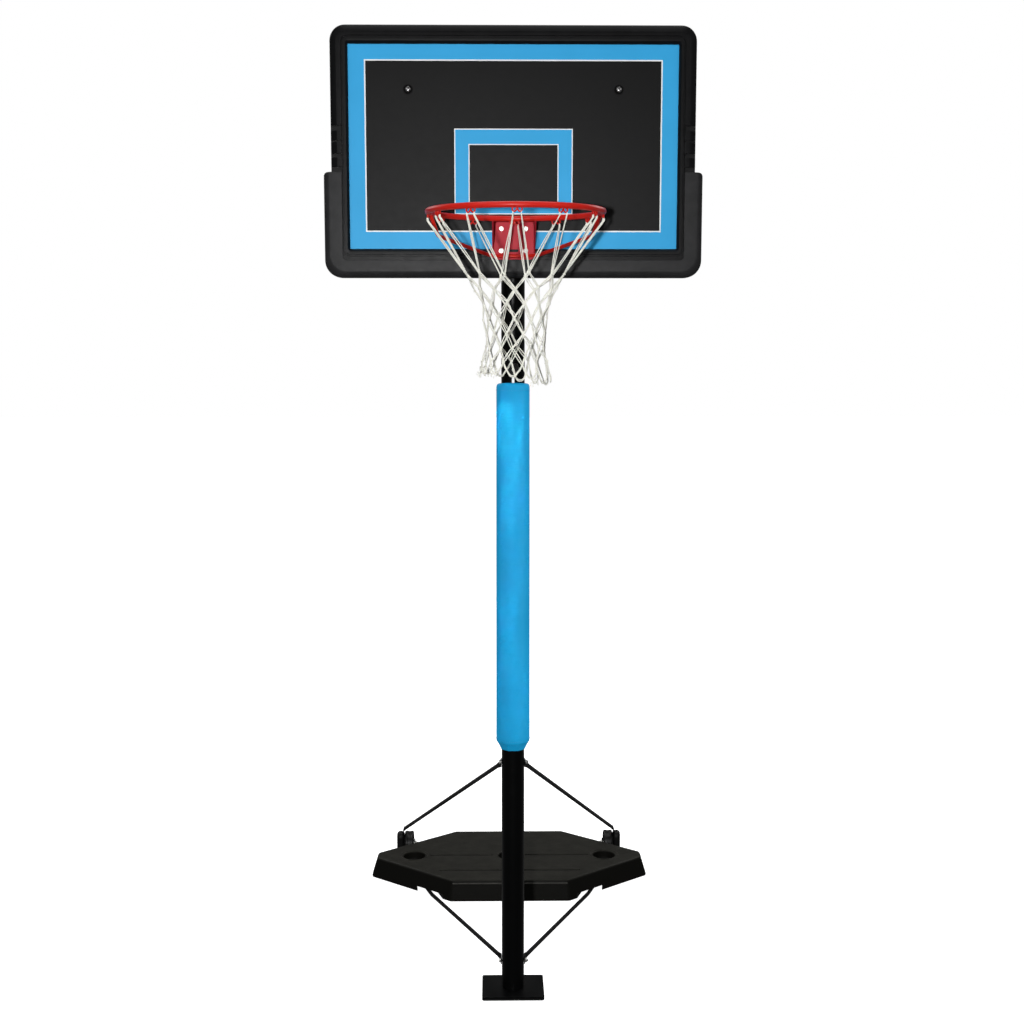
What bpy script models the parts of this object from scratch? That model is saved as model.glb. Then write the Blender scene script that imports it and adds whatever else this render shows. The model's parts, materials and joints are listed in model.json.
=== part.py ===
# Portable basketball hoop with a telescoping pole, a water-filled base and a framed board
# Metres. The origin is the pole's axis on the ground, +X is the right side as a player
# faces the board, +Y is behind the hoop and +Z is up. The rim is modelled at 2.44 m.
import math

import bmesh
import bpy
from mathutils import Matrix, Vector

# Clearance kept between pieces that touch
GAP = 0.0003

# Sides of round pieces
POLE_SIDES = 28
BOLT_SIDES = 12
HOLE_SIDES = 8

# Poles
POLE_R = 0.036
POLE_WALL = 0.002
NEST_PLAY = 0.00225
MAST_WALL = 0.002
JOINT_Z = 1.05
SWAGE_LENGTH = 0.09
MAST_FOOT_Z = 1.35

# Height setting
RIM_Z = 2.447
TRAVEL_DOWN = 0.15
FLANGE_RISE = 0.008

# Bushes and cap of the mast
BUSH_DEPTH = 0.03
BUSH_LIP_OUT = 0.002
BUSH_LIP = 0.004
FOOT_BUSH_HEIGHT = 0.015
PLUG_DEPTH = 0.03
PLUG_BORE_R = 0.008
CAP_HEIGHT = 0.006
CAP_LIP = 0.0015

# Height lock
LOCK_DROP = 0.285
STUD_R = 0.004
STUD_PROUD = 0.012
BOSS_R = 0.0095
BOSS_LENGTH = 0.010
KNOB_R = 0.020
KNOB_HEIGHT = 0.016
KNOB_LOBES = 6

# Pole pad
PAD_STRUT_SPACE = 0.046
PAD_LOCK_SPACE = 0.043
PAD_THICK = 0.015
PAD_DRAW_IN = 0.0065
PAD_DRAW_HEIGHT = 0.024
PAD_SLIT = 0.004
PAD_SIDES = 32

# Foot plate
FOOT_WIDTH = 0.200
FOOT_DEPTH = 0.160
FOOT_PLATE = 0.006
FOOT_PAD = 0.006
FOOT_CORNER = 0.006
STUB_HEIGHT = 0.055
STUB_WALL = 0.003

# Base tank, outlines given from the tank's centre
TANK_Y = 0.992
TANK_HEIGHT = 0.080
TANK_WALL = 0.005
TANK_EDGE = 0.007
BOTTOM_EDGE_X = 0.225
BOTTOM_EDGE_Y = 0.280
BOTTOM_TIP_X = 0.540
TOP_EDGE_X = 0.218
TOP_EDGE_Y = 0.266
TOP_TIP_X = 0.516
TIP_HALF = 0.030

# Wells, filler and grooves of the tank
WELL_INSET = 0.011
WELL_AHEAD = 0.007
WELL_R = 0.043
WELL_FLOOR_Z = 0.050
WELL_SIDES = 20
CHANNEL_HEIGHT = 0.0205
STRUT_CHANNEL_WIDTH = 0.070
STRAP_CHANNEL_WIDTH = 0.042
GROOVE_WIDTH = 0.008
GROOVE_DEPTH = 0.0025
FRONT_GROOVE_AHEAD = 0.166
FRONT_GROOVE_HALF = 0.270
NECK_R = 0.0165
NECK_DEPTH = 0.016

# Filler cap
SEAL_R = 0.023
SEAL_THICK = 0.002
FILLER_R = 0.028
FILLER_HEIGHT = 0.007
FILLER_GRIP = 0.011
FILLER_GRIP_HALF = 0.004

# Wheels and their brackets
WHEEL_R = 0.048
WHEEL_WIDTH = 0.036
WHEEL_X = 0.405
WHEEL_BEHIND = 0.208
WHEEL_LIFT = 0.004
WHEEL_HUB_R = 0.0145
WHEEL_WEB = 0.0126
WHEEL_RIM_R = 0.0375
WHEEL_EDGE = 0.004
WHEEL_SIDES = 24
SIDE_PLAY = 0.003
STRAP_WIDTH = 0.030
STRAP_THICK = 0.003
EAR_HALF = 0.016

# Struts
STRUT_R = 0.007
LUG_HALF = 0.012
LUG_THICK = 0.0036
LUG_END = 0.013
PRESS_LENGTH = 0.028
UPPER_STRUT_Z = 0.765
LOWER_STRUT_Z = 0.100
EAR_DROP = 0.062

# Fasteners
BOLT_R = 0.004
BOLT_HOLE_R = 0.0047
HEAD_R = 0.0075
HEAD_HEIGHT = 0.005
NUT_HEIGHT = 0.0062
BOLT_TIP = 0.003

# Board
BOARD_FACE_Y = -0.110
BOARD_DROP = 0.140
PANEL_WIDTH = 0.967
PANEL_HEIGHT = 0.588
PANEL_THICK = 0.006
PANEL_CORNER = 0.006
SIDE_BAND = 0.053
TOP_BAND = 0.055
BOTTOM_BAND = 0.062
FRAME_PROUD = 0.014
FRAME_DEPTH = 0.046
FRAME_WALL = 0.004
FRAME_CORNER = 0.045
FRAME_EDGE = 0.006
FRAME_BEVEL = 0.004
RIB_THICK = 0.004
RIB_DEPTH = 0.014
RIB_ROW_SHARES = (0.22, 0.52, 0.90)
RIB_COLUMN_SHARES = (0.38, 0.78)
BOARD_BOLT_X = 0.309
BOARD_BOLT_RISE = 0.382

# Lower bumper of the board
BUMPER_SIDE = 0.0225
BUMPER_TOP = 0.306
BUMPER_LIP = 0.029
BUMPER_PROUD = 0.006

# Board bracket and braces
BRACKET_HALF = 0.060
BRACKET_THICK = 0.004
BRACKET_TOP = 0.293
BRACKET_CORNER = 0.008
FLANGE_REAR_Y = 0.018
FLANGE_PLAY = 0.0005
CROSS_BOLT_EDGE = 0.040

# Rim
RING_INSIDE_R = 0.2286
RING_ROD_R = 0.008
RIM_REACH = 0.1524
RING_SEGMENTS = 48
ROD_SIDES = 8
HOOKS = 12
HOOK_ROD_R = 0.0022
HOOK_HALF = 0.0128
HOOK_DEPTH = 0.0175
RIM_BRACKET_HALF = 0.0635
RIM_BRACKET_EDGE = 0.0045
RIM_BRACKET_THICK = 0.004
RIM_BRACKET_CORNER = 0.016
RIM_BOLT_X = 0.036
RIM_BOLT_DROPS = (0.019, 0.083)
SLOT_HALF = 0.015
SLOT_HEIGHT = 0.008
BRACE_ROD_R = 0.0055
BRACE_UNDER_BOLT = 0.003
BRACE_ANGLE = math.radians(10)
BRACE_BEND_R = 0.018
BRACE_WRAP_HALF = 0.043
BRACE_SHOULDER_X = 0.073
BRACE_SHOULDER_Y = 0.018
BRACE_SHOULDER_Z = 0.002
BRACE_ELBOW_X = 0.020
BRACE_ELBOW_Y = 0.040
BRACE_ELBOW_Z = 0.0405

# Net
NET_CORD_R = 0.0025
NET_LENGTH = 0.437
NET_ROWS = 8
NET_TOP_SHARE = 0.32
# Shares of the net's length below the hooks, each with its share of the ring's radius
NET_SHAPE = ((0.0, 0.94), (0.32, 0.56), (0.45, 0.43), (0.62, 0.37), (0.80, 0.36), (1.0, 0.40))

# Values worked out from the driving dimensions
POLE_BORE_R = POLE_R - POLE_WALL
MAST_R = POLE_BORE_R - NEST_PLAY
MAST_BORE_R = MAST_R - MAST_WALL
FLANGE_LOW_Z = RIM_Z + FLANGE_RISE
POLE_TOP_Z = FLANGE_LOW_Z - 20 * GAP - TRAVEL_DOWN - BUSH_LIP
BUSH_LIP_R = POLE_R + BUSH_LIP_OUT
LOCK_Z = POLE_TOP_Z - LOCK_DROP
BOSS_REACH = POLE_R + BOSS_LENGTH
STUD_REACH = BOSS_REACH + STUD_PROUD
PAD_LOW_Z = UPPER_STRUT_Z + PAD_STRUT_SPACE
PAD_HIGH_Z = LOCK_Z - PAD_LOCK_SPACE
PAD_R = POLE_R + PAD_THICK
PANEL_LOW_Z = RIM_Z - BOARD_DROP + BOTTOM_BAND
PANEL_HIGH_Z = PANEL_LOW_Z + PANEL_HEIGHT
FRAME_LOW_Z = RIM_Z - BOARD_DROP
FRAME_HIGH_Z = PANEL_HIGH_Z + TOP_BAND
FRAME_FRONT_Y = BOARD_FACE_Y - FRAME_PROUD
FRAME_REAR_Y = FRAME_FRONT_Y + FRAME_DEPTH
PANEL_BACK_Y = BOARD_FACE_Y + PANEL_THICK
BOARD_BOLT_Z = RIM_Z + BOARD_BOLT_RISE
RING_R = RING_INSIDE_R + RING_ROD_R
RING_Y = BOARD_FACE_Y - RIM_REACH - RING_INSIDE_R
BRACE_DROP = RIM_BOLT_DROPS[1] + HEAD_R + BRACE_UNDER_BOLT + BRACE_ROD_R
RIM_BRACKET_DROP = BRACE_DROP + BRACE_ROD_R + RIM_BRACKET_EDGE
BRACKET_TOP_Z = RIM_Z + BRACKET_TOP
MAST_TOP_Z = BRACKET_TOP_Z + BRACKET_THICK
FLANGE_IN_X = MAST_R + FLANGE_PLAY
FLANGE_OUT_X = FLANGE_IN_X + BRACKET_THICK
POLE_LUG_X = POLE_R + GAP + LUG_THICK / 2
WHEEL_Z = WHEEL_R + WHEEL_LIFT
WHEEL_IN_X = WHEEL_X - WHEEL_WIDTH / 2
WHEEL_OUT_X = WHEEL_X + WHEEL_WIDTH / 2
WHEEL_Y = TANK_Y + WHEEL_BEHIND
EAR_X = WHEEL_IN_X - SIDE_PLAY
WELL_X = EAR_X - WELL_INSET
WELL_Y = TANK_Y - WELL_AHEAD
FRONT_GROOVE_Y = TANK_Y - FRONT_GROOVE_AHEAD
OUTER_LUG_X = WHEEL_OUT_X + SIDE_PLAY + LUG_THICK / 2
STRAP_TOP_Z = CHANNEL_HEIGHT - GAP
STRAP_LOW_Z = STRAP_TOP_Z - STRAP_THICK
BASE_LUG_Z = STRAP_LOW_Z - GAP - LUG_THICK / 2
FOOT_TOP_Z = FOOT_PAD + GAP + FOOT_PLATE
NECK_LOW_Z = WELL_FLOOR_Z - NECK_DEPTH - TANK_WALL


def clear_scene():
    """Empties the file, so that the script can be run again."""
    for item in list(bpy.data.objects):
        bpy.data.objects.remove(item, do_unlink=True)


def new_collection(name):
    """Adds a collection under the scene's own."""
    collection = bpy.data.collections.new(name)
    bpy.context.scene.collection.children.link(collection)
    return collection


def new_material(name, colour, roughness, metallic=0.0):
    """A Principled material with one colour."""
    material = bpy.data.materials.new(name)
    material.use_nodes = True
    shader = material.node_tree.nodes["Principled BSDF"]
    shader.inputs["Base Color"].default_value = (*colour, 1.0)
    shader.inputs["Roughness"].default_value = roughness
    shader.inputs["Metallic"].default_value = metallic
    return material


clear_scene()
PARTS = new_collection("basketball_hoop")
TOOLS = new_collection("cutters")
BLACK_STEEL = new_material("black_steel", (0.012, 0.012, 0.014), 0.35)
ZINC = new_material("zinc", (0.62, 0.63, 0.65), 0.3, 1.0)
BLACK_PLASTIC = new_material("black_plastic", (0.015, 0.015, 0.016), 0.5)
BASE_PLASTIC = new_material("base_plastic", (0.019, 0.019, 0.017), 0.6)
PANEL_BLACK = new_material("panel_black", (0.016, 0.016, 0.017), 0.4)
RED_PAINT = new_material("red_paint", (0.58, 0.015, 0.012), 0.3)
BRACKET_RED = new_material("bracket_red", (0.48, 0.03, 0.05), 0.45)
PAD_BLUE = new_material("pad_blue", (0.026, 0.39, 0.76), 0.5)
NET_WHITE = new_material("net_white", (0.8, 0.8, 0.74), 0.9)
RUBBER = new_material("rubber", (0.02, 0.02, 0.02), 0.8)
WATER = new_material("water", (0.35, 0.5, 0.55), 0.1)


def new_body(name, location):
    """An empty on a body's joint axis, which its pieces are parented to."""
    empty = bpy.data.objects.new(name, None)
    empty.empty_display_size = 0.05
    empty.location = location
    PARTS.objects.link(empty)
    return empty


def add_part(name, mesh, material, body, location=(0, 0, 0), rotation=(0, 0, 0)):
    """Adds one named piece at a place in the world, parented to its body's empty."""
    item = bpy.data.objects.new(name, mesh)
    item.data.materials.append(material)
    item.parent = body
    item.location = Vector(location) - body.location
    item.rotation_euler = rotation
    PARTS.objects.link(item)
    return item


def add_tool(name, mesh, location=(0, 0, 0), rotation=(0, 0, 0)):
    """Adds a solid that only cuts or joins."""
    item = bpy.data.objects.new(name, mesh)
    item.location = location
    item.rotation_euler = rotation
    item.hide_render = True
    item.display_type = "WIRE"
    TOOLS.objects.link(item)
    return item


def combine(item, tool, operation, own_overlaps=False):
    """Cuts an object by a tool, or joins the tool to it."""
    step = item.modifiers.new(f"{operation.lower()}_{tool.name}", "BOOLEAN")
    step.operation = operation
    step.object = tool
    step.use_self = own_overlaps


def round_edges(item, width, segments, angle=30):
    """Rounds the edges that are sharper than an angle in degrees."""
    step = item.modifiers.new("rounded_edges", "BEVEL")
    step.width = width
    step.segments = segments
    step.limit_method = "ANGLE"
    step.angle_limit = math.radians(angle)


def smooth(mesh, angle=40):
    """Shades the round faces smooth and keeps the edges crisp."""
    mesh.shade_smooth()
    mesh.set_sharp_from_angle(angle=math.radians(angle))


def even_shading(item):
    """Shades a cut piece by the size of its faces, so that its flats look flat."""
    step = item.modifiers.new("even_shading", "WEIGHTED_NORMAL")
    step.keep_sharp = True


def box_mesh(name, low, high):
    """A box between two corners."""
    low, high = Vector(low), Vector(high)
    work = bmesh.new()
    bmesh.ops.create_cube(work, size=1.0)
    sides = high - low
    bmesh.ops.scale(work, vec=sides, verts=work.verts)
    bmesh.ops.translate(work, vec=(low + high) / 2, verts=work.verts)
    mesh = bpy.data.meshes.new(name)
    work.to_mesh(mesh)
    work.free()
    return mesh


def cylinder_mesh(name, radius, low, high, sides, axis="Z"):
    """A cylinder along an axis through the origin, between two places on it."""
    turn = {"X": Matrix.Rotation(math.pi / 2, 4, "Y"), "Y": Matrix.Rotation(-math.pi / 2, 4, "X")}
    work = bmesh.new()
    bmesh.ops.create_cone(work, cap_ends=True, segments=sides, radius1=radius, radius2=radius,
                          depth=high - low)
    bmesh.ops.translate(work, vec=(0, 0, (low + high) / 2), verts=work.verts)
    if axis in turn:
        bmesh.ops.transform(work, matrix=turn[axis], verts=work.verts)
    mesh = bpy.data.meshes.new(name)
    work.to_mesh(mesh)
    work.free()
    smooth(mesh)
    return mesh


def bore(item, radius, centre, axis, half_length, sides=HOLE_SIDES):
    """Drills a round hole through a piece."""
    mesh = cylinder_mesh(f"{item.name}_bore", radius, -half_length, half_length, sides, axis)
    combine(item, add_tool(mesh.name, mesh, centre), "DIFFERENCE")


def turned_mesh(name, profile, closed):
    """The profile of a turned piece: points of radius and height, down the outer side first."""
    points = [(radius, 0, height) for radius, height in profile]
    edges = [(index, index + 1) for index in range(len(points) - 1)]
    if closed:
        edges.append((len(points) - 1, 0))
    mesh = bpy.data.meshes.new(name)
    mesh.from_pydata(points, edges, [])
    return mesh


def turn(item, sides):
    """Turns a profile round its object's Z axis."""
    step = item.modifiers.new("turned", "SCREW")
    step.axis = "Z"
    step.angle = 2 * math.pi
    step.steps = sides
    step.render_steps = sides
    step.use_merge_vertices = True
    step.merge_threshold = 0.00001
    step.use_smooth_shade = True


def add_turned(name, profile, sides, material, body, location, rotation=(0, 0, 0), closed=True):
    """Adds a turned piece, open at its bore when the profile is closed."""
    item = add_part(name, turned_mesh(name, profile, closed), material, body, location, rotation)
    turn(item, sides)
    return item


def tube_profile(outer_r, inner_r, low, high):
    """The section of a plain tube."""
    return [(outer_r, high), (outer_r, low), (inner_r, low), (inner_r, high)]


def arc_points(centre, radius, start, end, steps):
    """Points along an arc in the plane, from one angle in degrees to another."""
    points = []
    for step in range(steps + 1):
        angle = math.radians(start + (end - start) * step / steps)
        points.append((centre[0] + radius * math.cos(angle), centre[1] + radius * math.sin(angle)))
    return points


def rounded_rectangle(low_x, high_x, low_y, high_y, radius, steps=4):
    """A rectangle's outline with round corners, counterclockwise."""
    corners = (
        ((high_x - radius, high_y - radius), 0),
        ((low_x + radius, high_y - radius), 90),
        ((low_x + radius, low_y + radius), 180),
        ((high_x - radius, low_y + radius), 270),
    )
    points = []
    for centre, start in corners:
        points.extend(arc_points(centre, radius, start, start + 90, steps))
    return points


def curve_mesh(curve):
    """The closed mesh of a curve object's evaluated shape."""
    helper = bpy.data.objects.new(curve.name, curve)
    bpy.context.scene.collection.objects.link(helper)
    graph = bpy.context.evaluated_depsgraph_get()
    mesh = bpy.data.meshes.new_from_object(helper.evaluated_get(graph))
    bpy.data.objects.remove(helper)
    bpy.data.curves.remove(curve)
    work = bmesh.new()
    work.from_mesh(mesh)
    bmesh.ops.remove_doubles(work, verts=work.verts, dist=0.000001)
    bmesh.ops.recalc_face_normals(work, faces=work.faces)
    work.to_mesh(mesh)
    work.free()
    return mesh


def plate_mesh(name, outlines, thickness):
    """A flat plate: the first outline is its edge and the others are its holes."""
    curve = bpy.data.curves.new(name, "CURVE")
    curve.dimensions = "2D"
    curve.fill_mode = "BOTH"
    curve.extrude = thickness / 2
    for outline in outlines:
        spline = curve.splines.new("POLY")
        spline.points.add(len(outline) - 1)
        for point, (x, y) in zip(spline.points, outline):
            point.co = (x, y, 0, 1)
        spline.use_cyclic_u = True
    return curve_mesh(curve)


def upright(mesh, middle_y):
    """Stands a plate's mesh up, so that its outline's second value is a height."""
    mesh.transform(Matrix.Translation((0, middle_y, 0)) @ Matrix.Rotation(math.pi / 2, 4, "X"))
    return mesh


def upright_plate(name, outlines, front_y, back_y):
    """A plate in a vertical plane across the board, between two depths."""
    return upright(plate_mesh(name, outlines, back_y - front_y), (front_y + back_y) / 2)


def side_plate(name, outlines, thickness, middle_x):
    """A plate in a vertical plane from front to back, its outline given as depth and height."""
    mesh = plate_mesh(name, outlines, thickness)
    turn_up = Matrix(((0, 0, 1, 0), (1, 0, 0, 0), (0, 1, 0, 0), (0, 0, 0, 1)))
    mesh.transform(Matrix.Translation((middle_x, 0, 0)) @ turn_up)
    return mesh


def hole_outline(x, z, radius, sides=HOLE_SIDES):
    """A round hole's outline in a plate."""
    return arc_points((x, z), radius, 0, 360 - 360 / sides, sides - 1)


def rod_mesh(name, points, radius, resolution):
    """A round rod along a path."""
    curve = bpy.data.curves.new(name, "CURVE")
    curve.dimensions = "3D"
    curve.bevel_depth = radius
    curve.bevel_resolution = resolution
    curve.use_fill_caps = True
    spline = curve.splines.new("POLY")
    spline.points.add(len(points) - 1)
    for target, point in zip(spline.points, points):
        target.co = (*point, 1)
    mesh = curve_mesh(curve)
    smooth(mesh, 50)
    return mesh


def bent_path(points, radius, steps=4):
    """A path whose corners are rounded with a bend radius."""
    points = [Vector(point) for point in points]
    path = [points[0]]
    for before, corner, after in zip(points, points[1:], points[2:]):
        into, out = (corner - before).normalized(), (after - corner).normalized()
        half_turn = into.angle(out) / 2
        reach = radius * math.tan(half_turn)
        start, end = corner - into * reach, corner + out * reach
        for step in range(steps + 1):
            share = step / steps
            path.append(start.lerp(corner, share).lerp(corner.lerp(end, share), share))
    path.append(points[-1])
    return path


def loft_mesh(name, rings, closed=False):
    """Skins a row of rings with equal numbers of points, capped unless the row is closed."""
    work = bmesh.new()
    rows = [[work.verts.new(point) for point in ring] for ring in rings]
    pairs = list(zip(rows, rows[1:]))
    if closed:
        pairs.append((rows[-1], rows[0]))
    for lower, upper in pairs:
        for index in range(len(lower)):
            after = (index + 1) % len(lower)
            work.faces.new((lower[index], lower[after], upper[after], upper[index]))
    if not closed:
        work.faces.new(reversed(rows[0]))
        work.faces.new(rows[-1])
    bmesh.ops.recalc_face_normals(work, faces=work.faces)
    mesh = bpy.data.meshes.new(name)
    work.to_mesh(mesh)
    work.free()
    smooth(mesh)
    return mesh


def round_ring(radius, height):
    """One round section of a fastener."""
    turns = [2 * math.pi * index / BOLT_SIDES for index in range(BOLT_SIDES)]
    return [(radius * math.cos(angle), radius * math.sin(angle), height) for angle in turns]


def hex_ring(radius, height):
    """One hexagonal section of a fastener, with a point on each corner and each flat."""
    flat = radius * math.cos(math.pi / 6)
    ring = []
    for index in range(BOLT_SIDES):
        angle = 2 * math.pi * index / BOLT_SIDES
        reach = radius if index % 2 == 0 else flat
        ring.append((reach * math.cos(angle), reach * math.sin(angle), height))
    return ring


AXIS_TURNS = {
    "+X": (0, math.pi / 2, 0),
    "-X": (0, -math.pi / 2, 0),
    "+Y": (-math.pi / 2, 0, 0),
    "-Z": (math.pi, 0, 0),
}


def hex_bolt(name, body, seat, axis, length, radius=BOLT_R, nut_at=None):
    """A hex bolt from under its head along an axis, with its nut joined on where nut_at is set."""
    rings = [
        hex_ring(HEAD_R * 0.9, -HEAD_HEIGHT),
        hex_ring(HEAD_R, -HEAD_HEIGHT * 0.8),
        hex_ring(HEAD_R, 0),
        round_ring(radius, 0),
    ]
    if nut_at is not None:
        rings.append(round_ring(radius, nut_at))
        rings.append(hex_ring(HEAD_R, nut_at))
        rings.append(hex_ring(HEAD_R, nut_at + NUT_HEIGHT))
        rings.append(round_ring(radius, nut_at + NUT_HEIGHT))
    rings.append(round_ring(radius, length))
    return add_part(name, loft_mesh(name, rings), ZINC, body, seat, AXIS_TURNS[axis])


def dome_bolt(name, body, seat, axis, length, radius=BOLT_R):
    """A carriage bolt with a low dome head."""
    rings = [
        round_ring(HEAD_R * 0.6, -HEAD_HEIGHT),
        round_ring(HEAD_R * 1.1, -HEAD_HEIGHT * 0.7),
        round_ring(HEAD_R * 1.4, -HEAD_HEIGHT * 0.2),
        round_ring(HEAD_R * 1.4, 0),
        round_ring(radius, 0),
        round_ring(radius, length),
    ]
    return add_part(name, loft_mesh(name, rings), ZINC, body, seat, AXIS_TURNS[axis])


def hex_nut(name, body, seat, axis, radius=BOLT_R):
    """A hex nut that seats on a face and opens along an axis."""
    hole = radius + GAP
    rings = [hex_ring(HEAD_R, 0), hex_ring(HEAD_R, NUT_HEIGHT), round_ring(hole, NUT_HEIGHT),
             round_ring(hole, 0)]
    return add_part(name, loft_mesh(name, rings, closed=True), ZINC, body, seat, AXIS_TURNS[axis])


def make_poles(stand, mast):
    """The three pole sections, their bushes and the cap."""
    swage_r = POLE_BORE_R - GAP
    swage_bore_r = swage_r - POLE_WALL
    foot_z = FOOT_TOP_Z + GAP
    lower = add_turned(
        "lower_pole",
        [
            (swage_r, JOINT_Z + SWAGE_LENGTH),
            (swage_r, JOINT_Z - GAP),
            (POLE_R, JOINT_Z - GAP),
            (POLE_R, foot_z),
            (POLE_BORE_R, foot_z),
            (POLE_BORE_R, JOINT_Z - POLE_R / 3),
            (swage_bore_r, JOINT_Z),
            (swage_bore_r, JOINT_Z + SWAGE_LENGTH),
        ],
        POLE_SIDES, BLACK_STEEL, stand, (0, 0, 0),
    )
    for bolt_z in (UPPER_STRUT_Z, LOWER_STRUT_Z):
        bore(lower, BOLT_HOLE_R, (0, 0, bolt_z), "X", POLE_R * 2)
    middle = add_turned("middle_pole", tube_profile(POLE_R, POLE_BORE_R, JOINT_Z, POLE_TOP_Z),
                        POLE_SIDES, BLACK_STEEL, stand, (0, 0, 0))
    bore(middle, BOLT_HOLE_R, (0, -POLE_R, LOCK_Z), "Y", POLE_R / 2)
    even_shading(middle)
    bush_bore_r = MAST_R + GAP
    add_turned(
        "mast_bush",
        [
            (BUSH_LIP_R, POLE_TOP_Z + BUSH_LIP),
            (BUSH_LIP_R, POLE_TOP_Z + GAP),
            (POLE_BORE_R - GAP, POLE_TOP_Z + GAP),
            (POLE_BORE_R - GAP, POLE_TOP_Z - BUSH_DEPTH),
            (bush_bore_r, POLE_TOP_Z - BUSH_DEPTH),
            (bush_bore_r, POLE_TOP_Z + BUSH_LIP),
        ],
        POLE_SIDES, BLACK_PLASTIC, stand, (0, 0, 0),
    )
    upper = add_turned("upper_pole", tube_profile(MAST_R, MAST_BORE_R, MAST_FOOT_Z, MAST_TOP_Z),
                       POLE_SIDES, BLACK_STEEL, mast, (0, 0, 0))
    for bolt_z in cross_bolt_heights():
        bore(upper, BOLT_HOLE_R, (0, 0, bolt_z), "X", POLE_R * 2)
    plug_r = MAST_BORE_R - GAP
    add_turned(
        "mast_foot_bush",
        [
            (plug_r, MAST_FOOT_Z + PLUG_DEPTH),
            (plug_r, MAST_FOOT_Z - GAP),
            (POLE_BORE_R - GAP, MAST_FOOT_Z - GAP),
            (POLE_BORE_R - GAP, MAST_FOOT_Z - FOOT_BUSH_HEIGHT),
            (PLUG_BORE_R, MAST_FOOT_Z - FOOT_BUSH_HEIGHT),
            (PLUG_BORE_R, MAST_FOOT_Z + PLUG_DEPTH),
        ],
        POLE_SIDES, BLACK_PLASTIC, mast, (0, 0, 0),
    )
    cap_r = MAST_R + CAP_LIP
    add_turned(
        "mast_cap",
        [
            (0, MAST_TOP_Z + CAP_HEIGHT),
            (cap_r * 0.85, MAST_TOP_Z + CAP_HEIGHT),
            (cap_r, MAST_TOP_Z + CAP_HEIGHT * 0.6),
            (cap_r, MAST_TOP_Z + GAP),
            (plug_r, MAST_TOP_Z + GAP),
            (plug_r, MAST_TOP_Z - PLUG_DEPTH / 3),
            (0, MAST_TOP_Z - PLUG_DEPTH / 3),
        ],
        POLE_SIDES, BLACK_PLASTIC, mast, (0, 0, 0), closed=False,
    )


def cross_bolt_heights():
    """Heights of the bolts that clamp the board bracket to the mast, low one first."""
    return FLANGE_LOW_Z + CROSS_BOLT_EDGE, BRACKET_TOP_Z - CROSS_BOLT_EDGE


def make_pad(stand):
    """The foam pad round the pole, drawn in at both ends and slit down the back."""
    bore_r = POLE_R + GAP
    end_r = PAD_R - PAD_DRAW_IN
    middle_r = (PAD_R + bore_r) / 2
    shoulders = ((0.0, middle_r), (0.12, end_r), (0.5, PAD_R - PAD_DRAW_IN * 0.3), (1.0, PAD_R))
    outer = [(radius, PAD_HIGH_Z - share * PAD_DRAW_HEIGHT) for share, radius in shoulders]
    lower = [(radius, PAD_LOW_Z + share * PAD_DRAW_HEIGHT) for share, radius in reversed(shoulders)]
    profile = outer + lower + [(bore_r, PAD_LOW_Z), (bore_r, PAD_HIGH_Z)]
    pad = add_turned("pole_pad", profile, PAD_SIDES, PAD_BLUE, stand, (0, 0, 0))
    slit = box_mesh("pad_slit", (-PAD_SLIT / 2, 0, PAD_LOW_Z - PAD_SLIT),
                    (PAD_SLIT / 2, PAD_R * 1.2, PAD_HIGH_Z + PAD_SLIT))
    combine(pad, add_tool("pad_slit", slit), "DIFFERENCE")
    even_shading(pad)


def make_foot(stand):
    """The steel foot plate with the stub that locates the pole, and its rubber pad."""
    outline = rounded_rectangle(-FOOT_WIDTH / 2, FOOT_WIDTH / 2, -FOOT_DEPTH / 2, FOOT_DEPTH / 2,
                                FOOT_CORNER, 2)
    rubber = plate_mesh("foot_pad", [outline], FOOT_PAD)
    add_part("foot_pad", rubber, RUBBER, stand, (0, 0, FOOT_PAD / 2))
    plate_middle = FOOT_PAD + GAP + FOOT_PLATE / 2
    plate = add_part("foot_plate", plate_mesh("foot_plate", [outline], FOOT_PLATE), BLACK_STEEL,
                     stand, (0, 0, plate_middle))
    stub_r = POLE_BORE_R - GAP
    stub = add_tool("foot_stub", turned_mesh("foot_stub", tube_profile(
        stub_r, stub_r - STUB_WALL, FOOT_TOP_Z - FOOT_PLATE / 2, FOOT_TOP_Z + STUB_HEIGHT), True))
    turn(stub, POLE_SIDES)
    combine(plate, stub, "UNION")


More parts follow.
